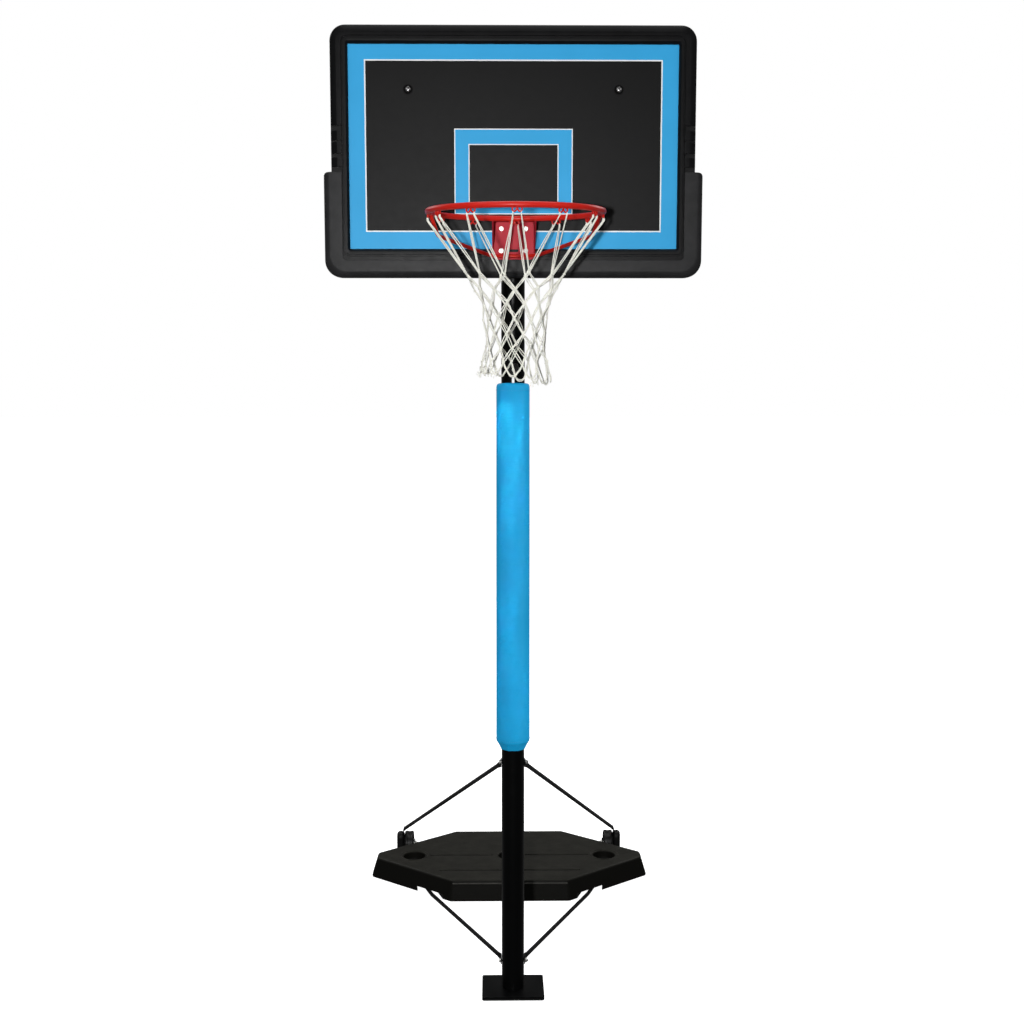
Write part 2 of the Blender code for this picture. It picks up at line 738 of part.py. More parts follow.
def make_height_lock(stand, stud_body, knob_body):
    """The boss on the pole, the threaded stud in it and the lobed knob on the stud."""
    rotation = (math.pi / 2, 0, 0)
    place = (0, 0, LOCK_Z)
    hole_r = STUD_R + GAP
    boss = add_turned("lock_boss", tube_profile(BOSS_R, hole_r, POLE_R / 2, BOSS_REACH),
                      BOLT_SIDES * 2, BLACK_STEEL, stand, place, rotation)
    pole_cut = cylinder_mesh("lock_boss_seat", POLE_R + GAP, -POLE_R, POLE_R, POLE_SIDES * 2)
    combine(boss, add_tool("lock_boss_seat", pole_cut, place), "DIFFERENCE")
    tip = MAST_R + GAP
    stud = cylinder_mesh("lock_stud", STUD_R, tip, STUD_REACH, BOLT_SIDES)
    add_part("lock_stud", stud, ZINC, stud_body, place, rotation)
    knob_low = BOSS_REACH + GAP * 2
    knob_high = knob_low + KNOB_HEIGHT
    count = KNOB_LOBES * 4
    rings = []
    for radius_share, height in ((0.94, knob_low), (1.0, knob_low + KNOB_HEIGHT * 0.2),
                                 (1.0, knob_low + KNOB_HEIGHT * 0.8), (0.86, knob_high)):
        ring = []
        for index in range(count):
            angle = 2 * math.pi * index / count
            reach = KNOB_R * radius_share * (1 + 0.09 * math.cos(KNOB_LOBES * angle))
            ring.append((reach * math.cos(angle), reach * math.sin(angle), height))
        rings.append(ring)
    knob = add_part("lock_knob", loft_mesh("lock_knob", rings), BLACK_PLASTIC, knob_body, place,
                    rotation)
    socket = cylinder_mesh("lock_knob_socket", hole_r, 0, STUD_REACH + GAP, BOLT_SIDES)
    combine(knob, add_tool("lock_knob_socket", socket, place, rotation), "DIFFERENCE")


def tank_outline(edge_x, edge_y, tip_x, inset):
    """The tank's eight-sided plan, moved inwards by an inset."""
    corners = [(edge_x, -edge_y), (tip_x, -TIP_HALF), (tip_x, TIP_HALF), (edge_x, edge_y),
               (-edge_x, edge_y), (-tip_x, TIP_HALF), (-tip_x, -TIP_HALF), (-edge_x, -edge_y)]
    moved = []
    for index, corner in enumerate(corners):
        point = Vector(corner)
        back = (point - Vector(corners[index - 1])).normalized()
        on = (Vector(corners[(index + 1) % len(corners)]) - point).normalized()
        normals = Vector((back.y, -back.x)), Vector((on.y, -on.x))
        shift = (normals[0] + normals[1]) / (1 + normals[0].dot(normals[1]))
        moved.append(point - shift * inset)
    return moved


def channel_tool(name, side, length, width, grow, turn_z):
    """A box that cuts a channel under the tank from behind a well's axis, grown by a wall."""
    half = width / 2 + grow
    mesh = box_mesh(name, (-half, -WELL_R / 2 - grow, -TANK_HEIGHT),
                    (half, length, CHANNEL_HEIGHT + grow))
    return add_tool(name, mesh, (side * WELL_X, WELL_Y, 0), (0, 0, turn_z))


def strut_turn(side):
    """The plan angle of a lower strut seen from its base bolt, for a channel along +Y."""
    return math.pi - side * math.atan2(WELL_X - POLE_LUG_X, WELL_Y)


def shape_tank(item, grow):
    """Cuts the wells, the filler recess and the channels, each grown outwards by a wall."""
    name = item.name
    for label, x, floor_z in (("left", -WELL_X, WELL_FLOOR_Z), ("right", WELL_X, WELL_FLOOR_Z),
                              ("filler", 0, WELL_FLOOR_Z)):
        well = cylinder_mesh(f"{name}_{label}_well", WELL_R + grow, floor_z - grow,
                             TANK_HEIGHT * 1.5, WELL_SIDES)
        combine(item, add_tool(well.name, well, (x, WELL_Y, 0)), "DIFFERENCE")
    for label, side in (("left", -1), ("right", 1)):
        strut = channel_tool(f"{name}_{label}_strut_channel", side, BOTTOM_EDGE_Y * 1.6,
                             STRUT_CHANNEL_WIDTH, grow, strut_turn(side))
        combine(item, strut, "DIFFERENCE")
        middle = side * (EAR_X - STRAP_WIDTH / 2 - WELL_X)
        strap = channel_tool(f"{name}_{label}_strap_channel", side, BOTTOM_EDGE_Y * 1.2,
                             STRAP_CHANNEL_WIDTH, grow, 0)
        strap.location.x += middle
        combine(item, strap, "DIFFERENCE")


def tank_mesh(name, inset):
    """The tank's outer form, or the form of its inside when it is inset."""
    rings = []
    for outline, z in (
        (tank_outline(BOTTOM_EDGE_X, BOTTOM_EDGE_Y, BOTTOM_TIP_X, inset), inset),
        (tank_outline(TOP_EDGE_X, TOP_EDGE_Y, TOP_TIP_X, inset), TANK_HEIGHT - inset),
    ):
        rings.append([(point.x, TANK_Y + point.y, z) for point in outline])
    return loft_mesh(name, rings)


def inner_form(name, inset, collection_add):
    """The tank's inside at an inset from its faces: the cavity, or the water in it."""
    item = collection_add(name, tank_mesh(name, inset))
    round_edges(item, TANK_EDGE / 2, 1)
    shape_tank(item, inset)
    bolt_post_r = BOLT_R + GAP
    for label, x, radius, low in (("left", -WELL_X, bolt_post_r, 0), ("right", WELL_X, bolt_post_r, 0),
                                  ("neck", 0, NECK_R, WELL_FLOOR_Z - NECK_DEPTH)):
        post = cylinder_mesh(f"{name}_{label}_post", radius + inset, low - inset, TANK_HEIGHT,
                             WELL_SIDES)
        combine(item, add_tool(post.name, post, (x, WELL_Y, 0)), "DIFFERENCE")
    return item


def make_tank(stand):
    """The hollow base tank and the water that fills it."""
    tank = add_part("base_tank", tank_mesh("base_tank", 0), BASE_PLASTIC, stand)
    round_edges(tank, TANK_EDGE, 2)
    shape_tank(tank, 0)
    groove = GROOVE_WIDTH / 2
    floor = TANK_HEIGHT - GROOVE_DEPTH
    spans = (
        ("rear_groove_left", -WELL_X + WELL_R * 1.2, -WELL_R * 1.2, WELL_Y),
        ("rear_groove_right", WELL_R * 1.2, WELL_X - WELL_R * 1.2, WELL_Y),
        ("front_groove", -FRONT_GROOVE_HALF, FRONT_GROOVE_HALF, FRONT_GROOVE_Y),
    )
    for name, low_x, high_x, y in spans:
        mesh = box_mesh(name, (low_x, y - groove, floor), (high_x, y + groove, TANK_HEIGHT * 1.2))
        combine(tank, add_tool(name, mesh), "DIFFERENCE")
    cavity = inner_form("tank_cavity", TANK_WALL, add_tool)
    combine(tank, cavity, "DIFFERENCE")
    for x in (-WELL_X, WELL_X):
        bore(tank, BOLT_HOLE_R, (x, WELL_Y, WELL_FLOOR_Z / 2), "Z", TANK_HEIGHT)
    neck = cylinder_mesh("neck_bore", NECK_R, NECK_LOW_Z - TANK_WALL / 2,
                         TANK_HEIGHT, WELL_SIDES)
    combine(tank, add_tool("neck_bore", neck, (0, WELL_Y, 0)), "DIFFERENCE")
    even_shading(tank)

    def add_water(name, mesh):
        return add_part(name, mesh, WATER, stand)

    inner_form("ballast_water", TANK_WALL + GAP, add_water)


def make_filler(seal_body, cap_body):
    """The filler's sealing ring and its screw cap with a grip bar."""
    seal_low = WELL_FLOOR_Z + GAP
    plug_r = NECK_R - GAP * 2
    add_turned("cap_seal", tube_profile(SEAL_R, plug_r + GAP * 2, seal_low, seal_low + SEAL_THICK),
               WELL_SIDES, RUBBER, seal_body, (0, WELL_Y, 0))
    seat = seal_low + SEAL_THICK + GAP
    top = seat + FILLER_HEIGHT
    cap = add_turned(
        "filler_cap",
        [
            (0, top),
            (FILLER_R * 0.92, top),
            (FILLER_R, top - FILLER_HEIGHT * 0.3),
            (FILLER_R, seat),
            (plug_r, seat),
            (plug_r, NECK_LOW_Z),
            (0, NECK_LOW_Z),
        ],
        WELL_SIDES, BLACK_PLASTIC, cap_body, (0, WELL_Y, 0), closed=False,
    )
    grip = box_mesh("filler_grip", (-FILLER_R * 0.8, -FILLER_GRIP_HALF, top - FILLER_HEIGHT / 2),
                    (FILLER_R * 0.8, FILLER_GRIP_HALF, top + FILLER_GRIP))
    combine(cap, add_tool("filler_grip", grip, (0, WELL_Y, 0)), "UNION")


def make_base_fixings(stand, side, label):
    """One side's base bolt, nut and wheel bracket, and its axle bolt and nut."""
    well = Vector((side * WELL_X, WELL_Y, 0))
    head_z = WELL_FLOOR_Z + GAP
    lug_low = BASE_LUG_Z - LUG_THICK / 2
    nut_top = lug_low - GAP
    hex_bolt(f"{label}_base_bolt", stand, well + Vector((0, 0, head_z)), "-Z",
             head_z - nut_top + NUT_HEIGHT + BOLT_TIP)
    hex_nut(f"{label}_base_nut", stand, well + Vector((0, 0, nut_top)), "-Z")

    inner = EAR_X - STRAP_WIDTH
    rear = WHEEL_Y + EAR_HALF * 1.5
    low_x, high_x = sorted((side * inner, side * (EAR_X - GAP)))
    strap_outline = rounded_rectangle(low_x, high_x, WELL_Y - STRAP_WIDTH * 0.6, rear,
                                      STRAP_WIDTH / 7, 1)
    bolt_hole = hole_outline(side * WELL_X, WELL_Y, BOLT_HOLE_R)
    strap_mesh = plate_mesh(f"{label}_wheel_bracket", [strap_outline, bolt_hole], STRAP_THICK)
    strap = add_part(f"{label}_wheel_bracket", strap_mesh, BLACK_STEEL, stand,
                     (0, 0, STRAP_LOW_Z + STRAP_THICK / 2))
    ear_outline = [(WHEEL_Y + EAR_HALF, STRAP_LOW_Z + GAP * 2)]
    ear_outline.extend(arc_points((WHEEL_Y, WHEEL_Z), EAR_HALF, 0, 180, 8))
    ear_outline.append((WHEEL_Y - EAR_HALF, STRAP_LOW_Z + GAP * 2))
    ear_mesh = side_plate(f"{label}_ear",
                          [ear_outline, hole_outline(WHEEL_Y, WHEEL_Z, BOLT_HOLE_R)], STRAP_THICK,
                          side * (EAR_X - STRAP_THICK / 2))
    combine(strap, add_tool(f"{label}_ear", ear_mesh), "UNION")

    head_x = OUTER_LUG_X + LUG_THICK / 2 + GAP
    nut_x = EAR_X - STRAP_THICK - GAP
    inward = "-X" if side > 0 else "+X"
    hex_bolt(f"{label}_axle_bolt", stand, (side * head_x, WHEEL_Y, WHEEL_Z), inward,
             head_x - nut_x + NUT_HEIGHT + BOLT_TIP)
    hex_nut(f"{label}_axle_nut", stand, (side * nut_x, WHEEL_Y, WHEEL_Z), inward)


def make_wheel(body, side, label):
    """A solid plastic wheel with a dished web on both faces."""
    half = WHEEL_WIDTH / 2
    web = WHEEL_WEB / 2
    bore_r = BOLT_R + GAP
    outer = [(WHEEL_HUB_R, half), (WHEEL_HUB_R, web), (WHEEL_RIM_R, web),
             (WHEEL_RIM_R + WHEEL_EDGE / 2, half), (WHEEL_R - WHEEL_EDGE, half),
             (WHEEL_R, half - WHEEL_EDGE)]
    inner = [(radius, -height) for radius, height in reversed(outer)]
    profile = [(bore_r, half)] + outer + inner + [(bore_r, -half)]
    add_turned(f"{label}_wheel", profile, WHEEL_SIDES, BLACK_PLASTIC, body,
               (side * WHEEL_X, WHEEL_Y, WHEEL_Z), (0, math.pi / 2, 0))


def lug_ring(centre, width_axis, normal, half_thick):
    """A flat pressed section of a strut, as twelve points round its edge."""
    corner = half_thick / 2
    quarter = [(LUG_HALF, corner), (LUG_HALF - corner, half_thick), (0, half_thick)]
    mirrored = [(-x, y) for x, y in reversed(quarter[:2])]
    top = [(LUG_HALF, 0)] + quarter + mirrored
    ring = top + [(-x, -y) for x, y in top]
    return [centre + width_axis * x + normal * y for x, y in ring]


def tube_ring(centre, direction, first_axis):
    """A round section of a strut, square to its direction."""
    u = (first_axis - direction * first_axis.dot(direction)).normalized()
    v = direction.cross(u)
    turns = [2 * math.pi * index / BOLT_SIDES for index in range(BOLT_SIDES)]
    return [centre + (u * math.cos(angle) + v * math.sin(angle)) * STRUT_R for angle in turns]


def aligned(ring, model):
    """Renumbers a ring's points so that each lies nearest its neighbour in another ring."""
    middle = sum(ring, Vector()) / len(ring)
    model_middle = sum(model, Vector()) / len(model)
    ways = [(point - middle).normalized() for point in ring]
    model_ways = [(point - model_middle).normalized() for point in model]

    def misfit(shift):
        return sum((ways[(index + shift) % len(ways)] - way).length_squared
                   for index, way in enumerate(model_ways))

    shift = min(range(len(ring)), key=misfit)
    return ring[shift:] + ring[:shift]


def strut_mesh(name, path, start_normal, end_normal):
    """A round tube with both ends pressed flat: its path runs from one bolt to the other."""
    path = [Vector(point) for point in path]
    start_normal, end_normal = Vector(start_normal), Vector(end_normal)
    half_thick = LUG_THICK / 2
    start_way = (path[1] - path[0]).normalized()
    end_way = (path[-1] - path[-2]).normalized()
    start_side = start_normal.cross(start_way)
    end_side = end_normal.cross(end_way)
    inner = path[1:-1]
    rings = [
        lug_ring(path[0] - start_way * LUG_END, start_side, start_normal, half_thick),
        lug_ring(inner[0], start_side, start_normal, half_thick),
    ]
    routes = list(zip(inner, inner[1:]))
    rounds = [(inner[0] + (routes[0][1] - routes[0][0]).normalized() * PRESS_LENGTH)]
    rounds.extend(inner[1:-1])
    rounds.append(inner[-1] - (routes[-1][1] - routes[-1][0]).normalized() * PRESS_LENGTH)
    for index, centre in enumerate(rounds):
        before = routes[max(index - 1, 0)]
        after = routes[min(index, len(routes) - 1)]
        way = ((before[1] - before[0]).normalized() + (after[1] - after[0]).normalized()).normalized()
        rings.append(tube_ring(centre, way, start_side))
    rings.append(lug_ring(inner[-1], end_side, end_normal, half_thick))
    rings.append(lug_ring(path[-1] + end_way * LUG_END, end_side, end_normal, half_thick))
    fitted = [rings[0]]
    for ring in rings[1:]:
        fitted.append(aligned(ring, fitted[-1]))
    return loft_mesh(name, fitted)


def front_edge_distance():
    """How far from a base bolt, along its lower strut in plan, the tank's bottom edge lies."""
    start = Vector((WELL_X, WELL_Y - TANK_Y))
    way = Vector((POLE_LUG_X - WELL_X, -WELL_Y)).normalized()
    first = Vector((BOTTOM_EDGE_X, -BOTTOM_EDGE_Y))
    along = Vector((BOTTOM_TIP_X, -TIP_HALF)) - first
    offset = first - start
    return offset.cross(along) / way.cross(along)


def make_struts(stand, side, label):
    """One side's upper and lower strut."""
    lug_run = LUG_HALF * 2.2
    low_bolt = Vector((side * POLE_LUG_X, 0, LOWER_STRUT_Z))
    well_bolt = Vector((side * WELL_X, WELL_Y, BASE_LUG_Z))
    plan = Vector((low_bolt.x - well_bolt.x, low_bolt.y - well_bolt.y, 0)).normalized()
    run_z = CHANNEL_HEIGHT - STRUT_R - GAP * 2
    bend = well_bolt + plan * (front_edge_distance() + STRUT_R * 2.5)
    bend.z = run_z
    near_well = well_bolt + plan * lug_run
    last_round = near_well + plan * PRESS_LENGTH * 1.15
    last_round.z = run_z
    lower_path = [low_bolt, low_bolt + Vector((0, lug_run, 0)), bend, last_round, near_well,
                  well_bolt]
    lower = add_part(f"{label}_lower_strut",
                     strut_mesh(f"{label}_lower_strut", lower_path, (side, 0, 0), (0, 0, 1)),
                     BLACK_STEEL, stand)
    bore(lower, BOLT_HOLE_R, low_bolt, "X", LUG_THICK * 2)
    bore(lower, BOLT_HOLE_R, well_bolt, "Z", LUG_THICK * 2)

    top_bolt = Vector((side * POLE_LUG_X, 0, UPPER_STRUT_Z))
    axle = Vector((side * OUTER_LUG_X, WHEEL_Y, WHEEL_Z))
    elbow = axle + Vector((0, -WHEEL_R * 0.3, EAR_DROP))
    slope = (elbow - top_bolt).normalized()
    upper_way = Vector((0, slope.y, slope.z)).normalized()
    upper_path = [top_bolt, top_bolt + upper_way * lug_run, elbow, axle]
    upper = add_part(f"{label}_upper_strut",
                     strut_mesh(f"{label}_upper_strut", upper_path, (side, 0, 0), (side, 0, 0)),
                     BLACK_STEEL, stand)
    bore(upper, BOLT_HOLE_R, top_bolt, "X", LUG_THICK * 2)
    bore(upper, BOLT_HOLE_R, axle, "X", LUG_THICK * 2)


def make_strut_bolts(stand):
    """The two bolts through the pole that hold the struts' pole ends."""
    seat_x = POLE_LUG_X + LUG_THICK / 2 + GAP
    for label, bolt_z in (("upper", UPPER_STRUT_Z), ("lower", LOWER_STRUT_Z)):
        hex_bolt(f"{label}_strut_bolt", stand, (-seat_x, 0, bolt_z), "+X",
                 2 * seat_x + NUT_HEIGHT + BOLT_TIP)
        hex_nut(f"{label}_strut_nut", stand, (seat_x, 0, bolt_z), "+X")


def make_board(mast):
    """The panel with its stiffening ribs, the moulded frame round it and the lower bumper."""
    half = PANEL_WIDTH / 2
    outer = half + SIDE_BAND
    pocket = outer - FRAME_WALL
    pocket_low, pocket_high = FRAME_LOW_Z + FRAME_WALL, FRAME_HIGH_Z - FRAME_WALL
    holes = [hole_outline(side * BOARD_BOLT_X, BOARD_BOLT_Z, BOLT_HOLE_R) for side in (-1, 1)]
    holes.extend(hole_outline(x, z, BOLT_HOLE_R) for x, z in rim_bolt_places())
    sheet = rounded_rectangle(-pocket + GAP, pocket - GAP, pocket_low + GAP, pocket_high - GAP,
                              FRAME_CORNER - FRAME_WALL)
    panel = add_part("backboard_panel",
                     upright_plate("backboard_panel", [sheet] + holes, BOARD_FACE_Y, PANEL_BACK_Y),
                     PANEL_BLACK, mast)
    ribs = add_tool("panel_ribs", rib_mesh(pocket, pocket_low, pocket_high))
    combine(panel, ribs, "UNION", own_overlaps=True)

    make_frame(mast)
    make_bumper(mast)

    for side, label in ((-1, "left"), (1, "right")):
        head = (side * BOARD_BOLT_X, BOARD_FACE_Y - GAP, BOARD_BOLT_Z)
        nut_y = PANEL_BACK_Y + GAP * 2 + LUG_THICK
        dome_bolt(f"{label}_board_bolt", mast, head, "+Y", nut_y - head[1] + NUT_HEIGHT + BOLT_TIP)
        hex_nut(f"{label}_board_nut", mast, (head[0], nut_y, BOARD_BOLT_Z), "+Y")


def board_ring(outset, corner, y):
    """The frame's outline moved outwards by an outset, as a ring of points at one depth."""
    half = PANEL_WIDTH / 2 + SIDE_BAND + outset
    outline = rounded_rectangle(-half, half, FRAME_LOW_Z - outset, FRAME_HIGH_Z + outset, corner)
    return [(x, y, z) for x, z in outline]


def window_ring(outset, y):
    """The outline of the frame's window moved outwards, as a ring of points at one depth."""
    half = PANEL_WIDTH / 2 + outset
    outline = rounded_rectangle(-half, half, PANEL_LOW_Z - outset, PANEL_HIGH_Z + outset,
                                PANEL_CORNER + outset)
    return [(x, y, z) for x, z in outline]


def make_frame(mast):
    """The moulded frame: a rounded front wall with a deep rim that the panel seats in."""
    seat_y = BOARD_FACE_Y - GAP
    rings = [
        window_ring(FRAME_BEVEL, FRAME_FRONT_Y),
        board_ring(-FRAME_EDGE, FRAME_CORNER - FRAME_EDGE, FRAME_FRONT_Y),
        board_ring(0, FRAME_CORNER, FRAME_FRONT_Y + FRAME_EDGE),
        board_ring(0, FRAME_CORNER, FRAME_REAR_Y),
        board_ring(-FRAME_WALL, FRAME_CORNER - FRAME_WALL, FRAME_REAR_Y),
        board_ring(-FRAME_WALL, FRAME_CORNER - FRAME_WALL, seat_y),
        window_ring(0, seat_y),
        window_ring(0, FRAME_FRONT_Y + FRAME_BEVEL),
    ]
    frame = add_part("backboard_frame", loft_mesh("backboard_frame", rings, closed=True),
                     BLACK_PLASTIC, mast)
    notch_half = RIM_BRACKET_HALF + FRAME_WALL
    notch = box_mesh("frame_notch",
                     (-notch_half, FRAME_FRONT_Y * 2, RIM_Z - RIM_BRACKET_DROP - FRAME_WALL),
                     (notch_half, PANEL_BACK_Y, PANEL_LOW_Z + BOTTOM_BAND))
    combine(frame, add_tool("frame_notch", notch), "DIFFERENCE")


def make_bumper(mast):
    """The lower bumper: a channel that wraps the frame's sides and bottom edge."""
    seat_front, seat_back = FRAME_FRONT_Y - GAP, FRAME_REAR_Y + GAP
    front, back = FRAME_FRONT_Y - BUMPER_PROUD, FRAME_REAR_Y + BUMPER_PROUD
    corner = FRAME_CORNER + BUMPER_SIDE / 4
    edge = BUMPER_PROUD
    lip_corner = FRAME_CORNER - BUMPER_LIP
    rings = [
        board_ring(-BUMPER_LIP, lip_corner, front + edge / 3),
        board_ring(-BUMPER_LIP + edge / 3, lip_corner + edge / 3, front),
        board_ring(BUMPER_SIDE - edge, corner - edge, front),
        board_ring(BUMPER_SIDE, corner, front + edge),
        board_ring(BUMPER_SIDE, corner, back - edge),
        board_ring(BUMPER_SIDE - edge, corner - edge, back),
        board_ring(-BUMPER_LIP, lip_corner, back),
        board_ring(-BUMPER_LIP, lip_corner, seat_back),
        board_ring(GAP, FRAME_CORNER + GAP, seat_back),
        board_ring(GAP, FRAME_CORNER + GAP, seat_front),
        board_ring(-BUMPER_LIP, lip_corner, seat_front),
    ]
    bumper = add_part("backboard_bumper", loft_mesh("backboard_bumper", rings, closed=True),
                      BLACK_PLASTIC, mast)
    low = FRAME_LOW_Z - BUMPER_SIDE
    reach = PANEL_WIDTH
    top = box_mesh("bumper_top", (-reach, front * 2, low + BUMPER_TOP),
                   (reach, reach, FRAME_HIGH_Z * 2))
    combine(bumper, add_tool("bumper_top", top), "DIFFERENCE")


def rib_mesh(pocket, pocket_low, pocket_high):
    """The grid of ribs on the panel's back, open round the bracket and the board bolts."""
    work = bmesh.new()
    edge = FRAME_WALL
    high_y = PANEL_BACK_Y + RIB_DEPTH
    height = pocket_high - pocket_low
    inner_x = BRACKET_HALF + BRACKET_THICK * 4
    rows = [pocket_low + height * share for share in RIB_ROW_SHARES]
    columns = [pocket * share for share in RIB_COLUMN_SHARES]
    boxes = []
    for side in (-1, 1):
        for z in rows:
            spans = sorted((side * inner_x, side * (pocket - edge)))
            boxes.append((spans[0], spans[1], z - RIB_THICK / 2, z + RIB_THICK / 2))
        for x in columns:
            boxes.append((side * x - RIB_THICK / 2, side * x + RIB_THICK / 2,
                          pocket_low + edge, pocket_high - edge))
    for low_x, high_x, low_z, high_z in boxes:
        corners = bmesh.ops.create_cube(work, size=1.0)["verts"]
        low_y = PANEL_BACK_Y - PANEL_THICK / 2
        bmesh.ops.scale(work, vec=(high_x - low_x, high_y - low_y, high_z - low_z), verts=corners)
        middle = ((low_x + high_x) / 2, (low_y + high_y) / 2, (low_z + high_z) / 2)
        bmesh.ops.translate(work, vec=middle, verts=corners)
    mesh = bpy.data.meshes.new("panel_ribs")
    work.to_mesh(mesh)
    work.free()
    return mesh


def make_board_mounting(mast):
    """The bracket that clamps the mast, its cross bolts and the braces to the board bolts."""
    front = PANEL_BACK_Y + GAP
    back = front + BRACKET_THICK
    low = RIM_Z - RIM_BRACKET_DROP + RIM_BRACKET_THICK
    sheet = rounded_rectangle(-BRACKET_HALF, BRACKET_HALF, low, BRACKET_TOP_Z, BRACKET_CORNER, 2)
    holes = [hole_outline(x, z, BOLT_HOLE_R) for x, z in rim_bolt_places()]
    bracket = add_part("board_bracket", upright_plate("board_bracket", [sheet] + holes, front, back),
                       BLACK_STEEL, mast)
    low_bolt_z, high_bolt_z = cross_bolt_heights()
    flange_outlines = [
        rounded_rectangle(back - BRACKET_THICK / 2, FLANGE_REAR_Y, FLANGE_LOW_Z,
                          BRACKET_TOP_Z - BRACKET_THICK, BRACKET_THICK / 3, 1),
        hole_outline(0, low_bolt_z, BOLT_HOLE_R),
        hole_outline(0, high_bolt_z, BOLT_HOLE_R),
    ]
    for side, label in ((-1, "left"), (1, "right")):
        flange = side_plate(f"{label}_flange", flange_outlines, BRACKET_THICK,
                            side * (FLANGE_IN_X + FLANGE_OUT_X) / 2)
        combine(bracket, add_tool(f"{label}_flange", flange), "UNION")
    brace_x = FLANGE_OUT_X + GAP + LUG_THICK / 2
    for label, bolt_z, seat_x in (("lower", low_bolt_z, FLANGE_OUT_X + GAP),
                                  ("upper", high_bolt_z, brace_x + LUG_THICK / 2 + GAP)):
        hex_bolt(f"{label}_bracket_bolt", mast, (-seat_x, 0, bolt_z), "+X",
                 2 * seat_x + NUT_HEIGHT + BOLT_TIP)
        hex_nut(f"{label}_bracket_nut", mast, (seat_x, 0, bolt_z), "+X")
    lug_run = LUG_HALF * 1.6
    for side, label in ((-1, "left"), (1, "right")):
        start = Vector((side * brace_x, 0, high_bolt_z))
        end = Vector((side * BOARD_BOLT_X, PANEL_BACK_Y + GAP + LUG_THICK / 2, BOARD_BOLT_Z))
        across = Vector((start.x - end.x, 0, start.z - end.z)).normalized()
        path = [start, start + Vector((0, 0, lug_run)), end + across * lug_run, end]
        brace = add_part(f"{label}_board_brace",
                         strut_mesh(f"{label}_board_brace", path, (side, 0, 0), (0, 1, 0)),
                         BLACK_STEEL, mast)
        bore(brace, BOLT_HOLE_R, start, "X", LUG_THICK * 2)
        bore(brace, BOLT_HOLE_R, end, "Y", LUG_THICK * 2)


def rim_bolt_places():
    """Where the four rim bolts cross the board, as x and height."""
    return [(side * RIM_BOLT_X, RIM_Z - drop) for drop in RIM_BOLT_DROPS for side in (-1, 1)]


def ring_mesh(name, rod_r, rod_sides):
    """The ring as a torus in its own frame."""
    work_name = bpy.ops.mesh.primitive_torus_add(
        major_segments=RING_SEGMENTS, minor_segments=rod_sides, major_radius=RING_R,
        minor_radius=rod_r)
    if "FINISHED" not in work_name:
        raise RuntimeError("the torus primitive could not be added")
    helper = bpy.context.object
    mesh = helper.data
    mesh.name = name
    bpy.data.objects.remove(helper)
    smooth(mesh, 60)
    return mesh


def hook_set_mesh(name):
    """The net hooks: each is a bent wire with two prongs under the ring."""
    half = [(-HOOK_HALF, -0.50), (-HOOK_HALF * 0.86, -0.94), (-HOOK_HALF * 0.44, -0.90)]
    shape = half + [(0.0, -0.40)] + [(-x, z) for x, z in reversed(half)]
    work = bmesh.new()
    for index in range(HOOKS):
        points = [Vector((x, -RING_R, z * HOOK_DEPTH)) for x, z in shape]
        mesh = rod_mesh(f"{name}_wire", points, HOOK_ROD_R, 1)
        mesh.transform(Matrix.Rotation(2 * math.pi * index / HOOKS, 4, "Z"))
        work.from_mesh(mesh)
        bpy.data.meshes.remove(mesh)
    mesh = bpy.data.meshes.new(name)
    work.to_mesh(mesh)
    work.free()
    return mesh


def ring_clearance():
    """A slightly fatter ring, which shapes the ends that meet the ring."""
    return add_tool("ring_clearance", ring_mesh("ring_clearance", RING_ROD_R + GAP, ROD_SIDES),
                    (0, RING_Y, RIM_Z))


